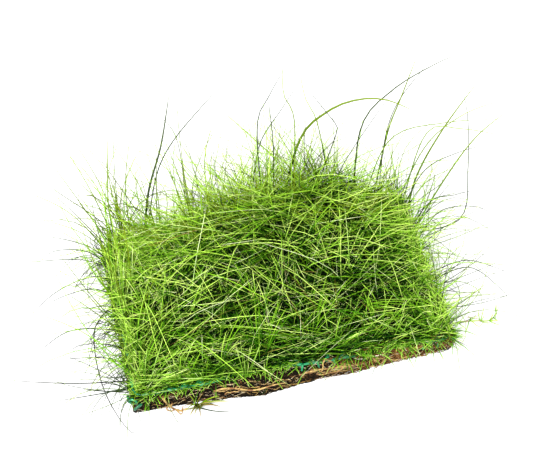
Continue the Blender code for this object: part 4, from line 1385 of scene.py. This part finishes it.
def build_floor(settings):
    """A wide plain floor under the mat."""
    made = Finish("floor", 0.1)
    made.shader.inputs["Roughness"].default_value = 0.9
    made.shader.inputs["Base Color"].default_value = (*settings.floor, 1.0)
    made.shader.inputs["Emission Color"].default_value = (1.0, 1.0, 1.0, 1.0)
    made.shader.inputs["Emission Strength"].default_value = settings.glow
    bm = bmesh.new()
    bmesh.ops.create_grid(bm, x_segments=4, y_segments=4, size=2.0)
    mesh = to_mesh(bm, "floor")
    mesh.materials.append(made.material)
    floor = add_object("floor", mesh)
    return floor


def build_lamp(name, place, size, power):
    """A square soft lamp that faces the mat."""
    data = bpy.data.lights.new(name, "AREA")
    data.energy = power
    data.size = size
    return add_facing(name, data, place, CAMERA_TARGET - place)


def build_camera():
    """The camera, at the photo's viewing angle."""
    level = math.cos(CAMERA_ELEVATION)
    x, y = math.sin(CAMERA_AZIMUTH) * level, -math.cos(CAMERA_AZIMUTH) * level
    back = Vector((x, y, math.sin(CAMERA_ELEVATION)))
    data = bpy.data.cameras.new("camera")
    data.lens = CAMERA_LENS
    camera = add_facing("camera", data, CAMERA_TARGET + back * CAMERA_DISTANCE, -back)
    bpy.context.scene.camera = camera
    return camera


class HAIRGRASS_OT_stage(bpy.types.Operator):
    """Set up the floor, the light and the camera"""

    bl_idname = "hairgrass.stage"
    bl_label = "Stage"

    def execute(self, context):
        settings = context.scene.hairgrass_stage
        build_floor(settings)
        world = bpy.data.worlds.new("sky")
        world.use_nodes = True
        world.node_tree.nodes["Background"].inputs["Color"].default_value = (1.0, 1.0, 1.0, 1.0)
        world.node_tree.nodes["Background"].inputs["Strength"].default_value = settings.sky
        context.scene.world = world
        for name, place, size in LAMPS:
            build_lamp(name, Vector(place), size, getattr(settings, name))
        build_camera()
        context.scene.view_settings.view_transform = "Standard"
        return {"FINISHED"}


class HAIRGRASS_OT_roots(bpy.types.Operator):
    """Make the matted roots and their fibres"""

    bl_idname = "hairgrass.roots"
    bl_label = "Roots"

    def execute(self, context):
        settings = context.scene.hairgrass_roots
        build_fibres(settings, build_root_mat(settings), np.random.default_rng((SEED, 1)))
        return {"FINISHED"}


class HAIRGRASS_OT_net(bpy.types.Operator):
    """Make the carrier net"""

    bl_idname = "hairgrass.net"
    bl_label = "Carrier net"

    def execute(self, context):
        build_net(context.scene.hairgrass_net)
        return {"FINISHED"}


class HAIRGRASS_OT_tufts(bpy.types.Operator):
    """Grow the fine blades of every tuft"""

    bl_idname = "hairgrass.tufts"
    bl_label = "Tufts"

    def execute(self, context):
        settings = context.scene.hairgrass_blades
        finish = grass_finish("grass", settings)
        meadow = Meadow()
        for number, tuft in enumerate(meadow.tufts):
            build_tuft(tuft, meadow, settings, finish, np.random.default_rng((SEED, 2, number)))
        for number, skirt in enumerate(SKIRTS, 1):
            build_skirt(number, skirt, settings, finish, np.random.default_rng((SEED, 6, number)))
        build_fans(settings, finish, np.random.default_rng((SEED, 7)))
        return {"FINISHED"}


class HAIRGRASS_OT_long_blades(bpy.types.Operator):
    """Make the overgrown blades"""

    bl_idname = "hairgrass.long_blades"
    bl_label = "Long blades"

    def execute(self, context):
        finish = grass_finish("long grass", context.scene.hairgrass_blades)
        meadow = Meadow()
        rng = np.random.default_rng((SEED, 3))
        for node in STRAYS:
            build_long_blade(node, meadow, finish, rng)
        return {"FINISHED"}


class HAIRGRASS_OT_runners(bpy.types.Operator):
    """Make the creeping stems"""

    bl_idname = "hairgrass.runners"
    bl_label = "Runners"

    def execute(self, context):
        roots, blades = context.scene.hairgrass_roots, context.scene.hairgrass_blades
        rng = np.random.default_rng((SEED, 4))
        finishes = {
            "runner": runner_finish("runner", roots.straw, roots.rust),
            "young_runner": runner_finish("young runner", roots.shoot, roots.straw),
        }
        for runner in RUNNERS:
            build_runner(runner, finishes[runner.slot], rng)
        side_leaves(blades, grass_finish("runner leaves", blades), np.random.default_rng((SEED, 8)))
        return {"FINISHED"}


class HAIRGRASS_OT_plantlet(bpy.types.Operator):
    """Grow the loose plantlet"""

    bl_idname = "hairgrass.plantlet"
    bl_label = "Loose plantlet"

    def execute(self, context):
        finish = grass_finish("plantlet", context.scene.hairgrass_blades)
        build_plantlet(finish, np.random.default_rng((SEED, 5)))
        return {"FINISHED"}


class HAIRGRASS_PT_panel(bpy.types.Panel):
    """Lists the pieces of the mat with their settings"""

    bl_label = "Hairgrass"
    bl_idname = "HAIRGRASS_PT_panel"
    bl_space_type = "VIEW_3D"
    bl_region_type = "UI"
    bl_category = "Hairgrass"

    def draw(self, context):
        for group, operators in PANEL_LAYOUT:
            box = self.layout.box()
            settings = getattr(context.scene, group)
            for name in settings.__annotations__:
                box.prop(settings, name)
            for operator in operators:
                box.operator(operator.bl_idname)


PANEL_LAYOUT = (
    ("hairgrass_stage", (HAIRGRASS_OT_stage,)),
    ("hairgrass_roots", (HAIRGRASS_OT_roots, HAIRGRASS_OT_runners)),
    ("hairgrass_net", (HAIRGRASS_OT_net,)),
    ("hairgrass_blades", (HAIRGRASS_OT_tufts, HAIRGRASS_OT_long_blades, HAIRGRASS_OT_plantlet)),
)
SETTINGS = {
    "hairgrass_stage": StageSettings,
    "hairgrass_roots": RootSettings,
    "hairgrass_net": NetSettings,
    "hairgrass_blades": GrassSettings,
}
OPERATORS = tuple(operator for _, operators in PANEL_LAYOUT for operator in operators)
CLASSES = (*SETTINGS.values(), *OPERATORS, HAIRGRASS_PT_panel)


def register():
    for made in CLASSES:
        bpy.utils.register_class(made)
    for name, group in SETTINGS.items():
        setattr(bpy.types.Scene, name, bpy.props.PointerProperty(type=group))


def unregister():
    for name in SETTINGS:
        delattr(bpy.types.Scene, name)
    for made in reversed(CLASSES):
        bpy.utils.unregister_class(made)


def main():
    register()
    bpy.ops.hairgrass.stage()
    bpy.ops.hairgrass.roots()
    bpy.ops.hairgrass.net()
    bpy.ops.hairgrass.tufts()
    bpy.ops.hairgrass.long_blades()
    bpy.ops.hairgrass.runners()
    bpy.ops.hairgrass.plantlet()


if __name__ == "__main__":
    main()
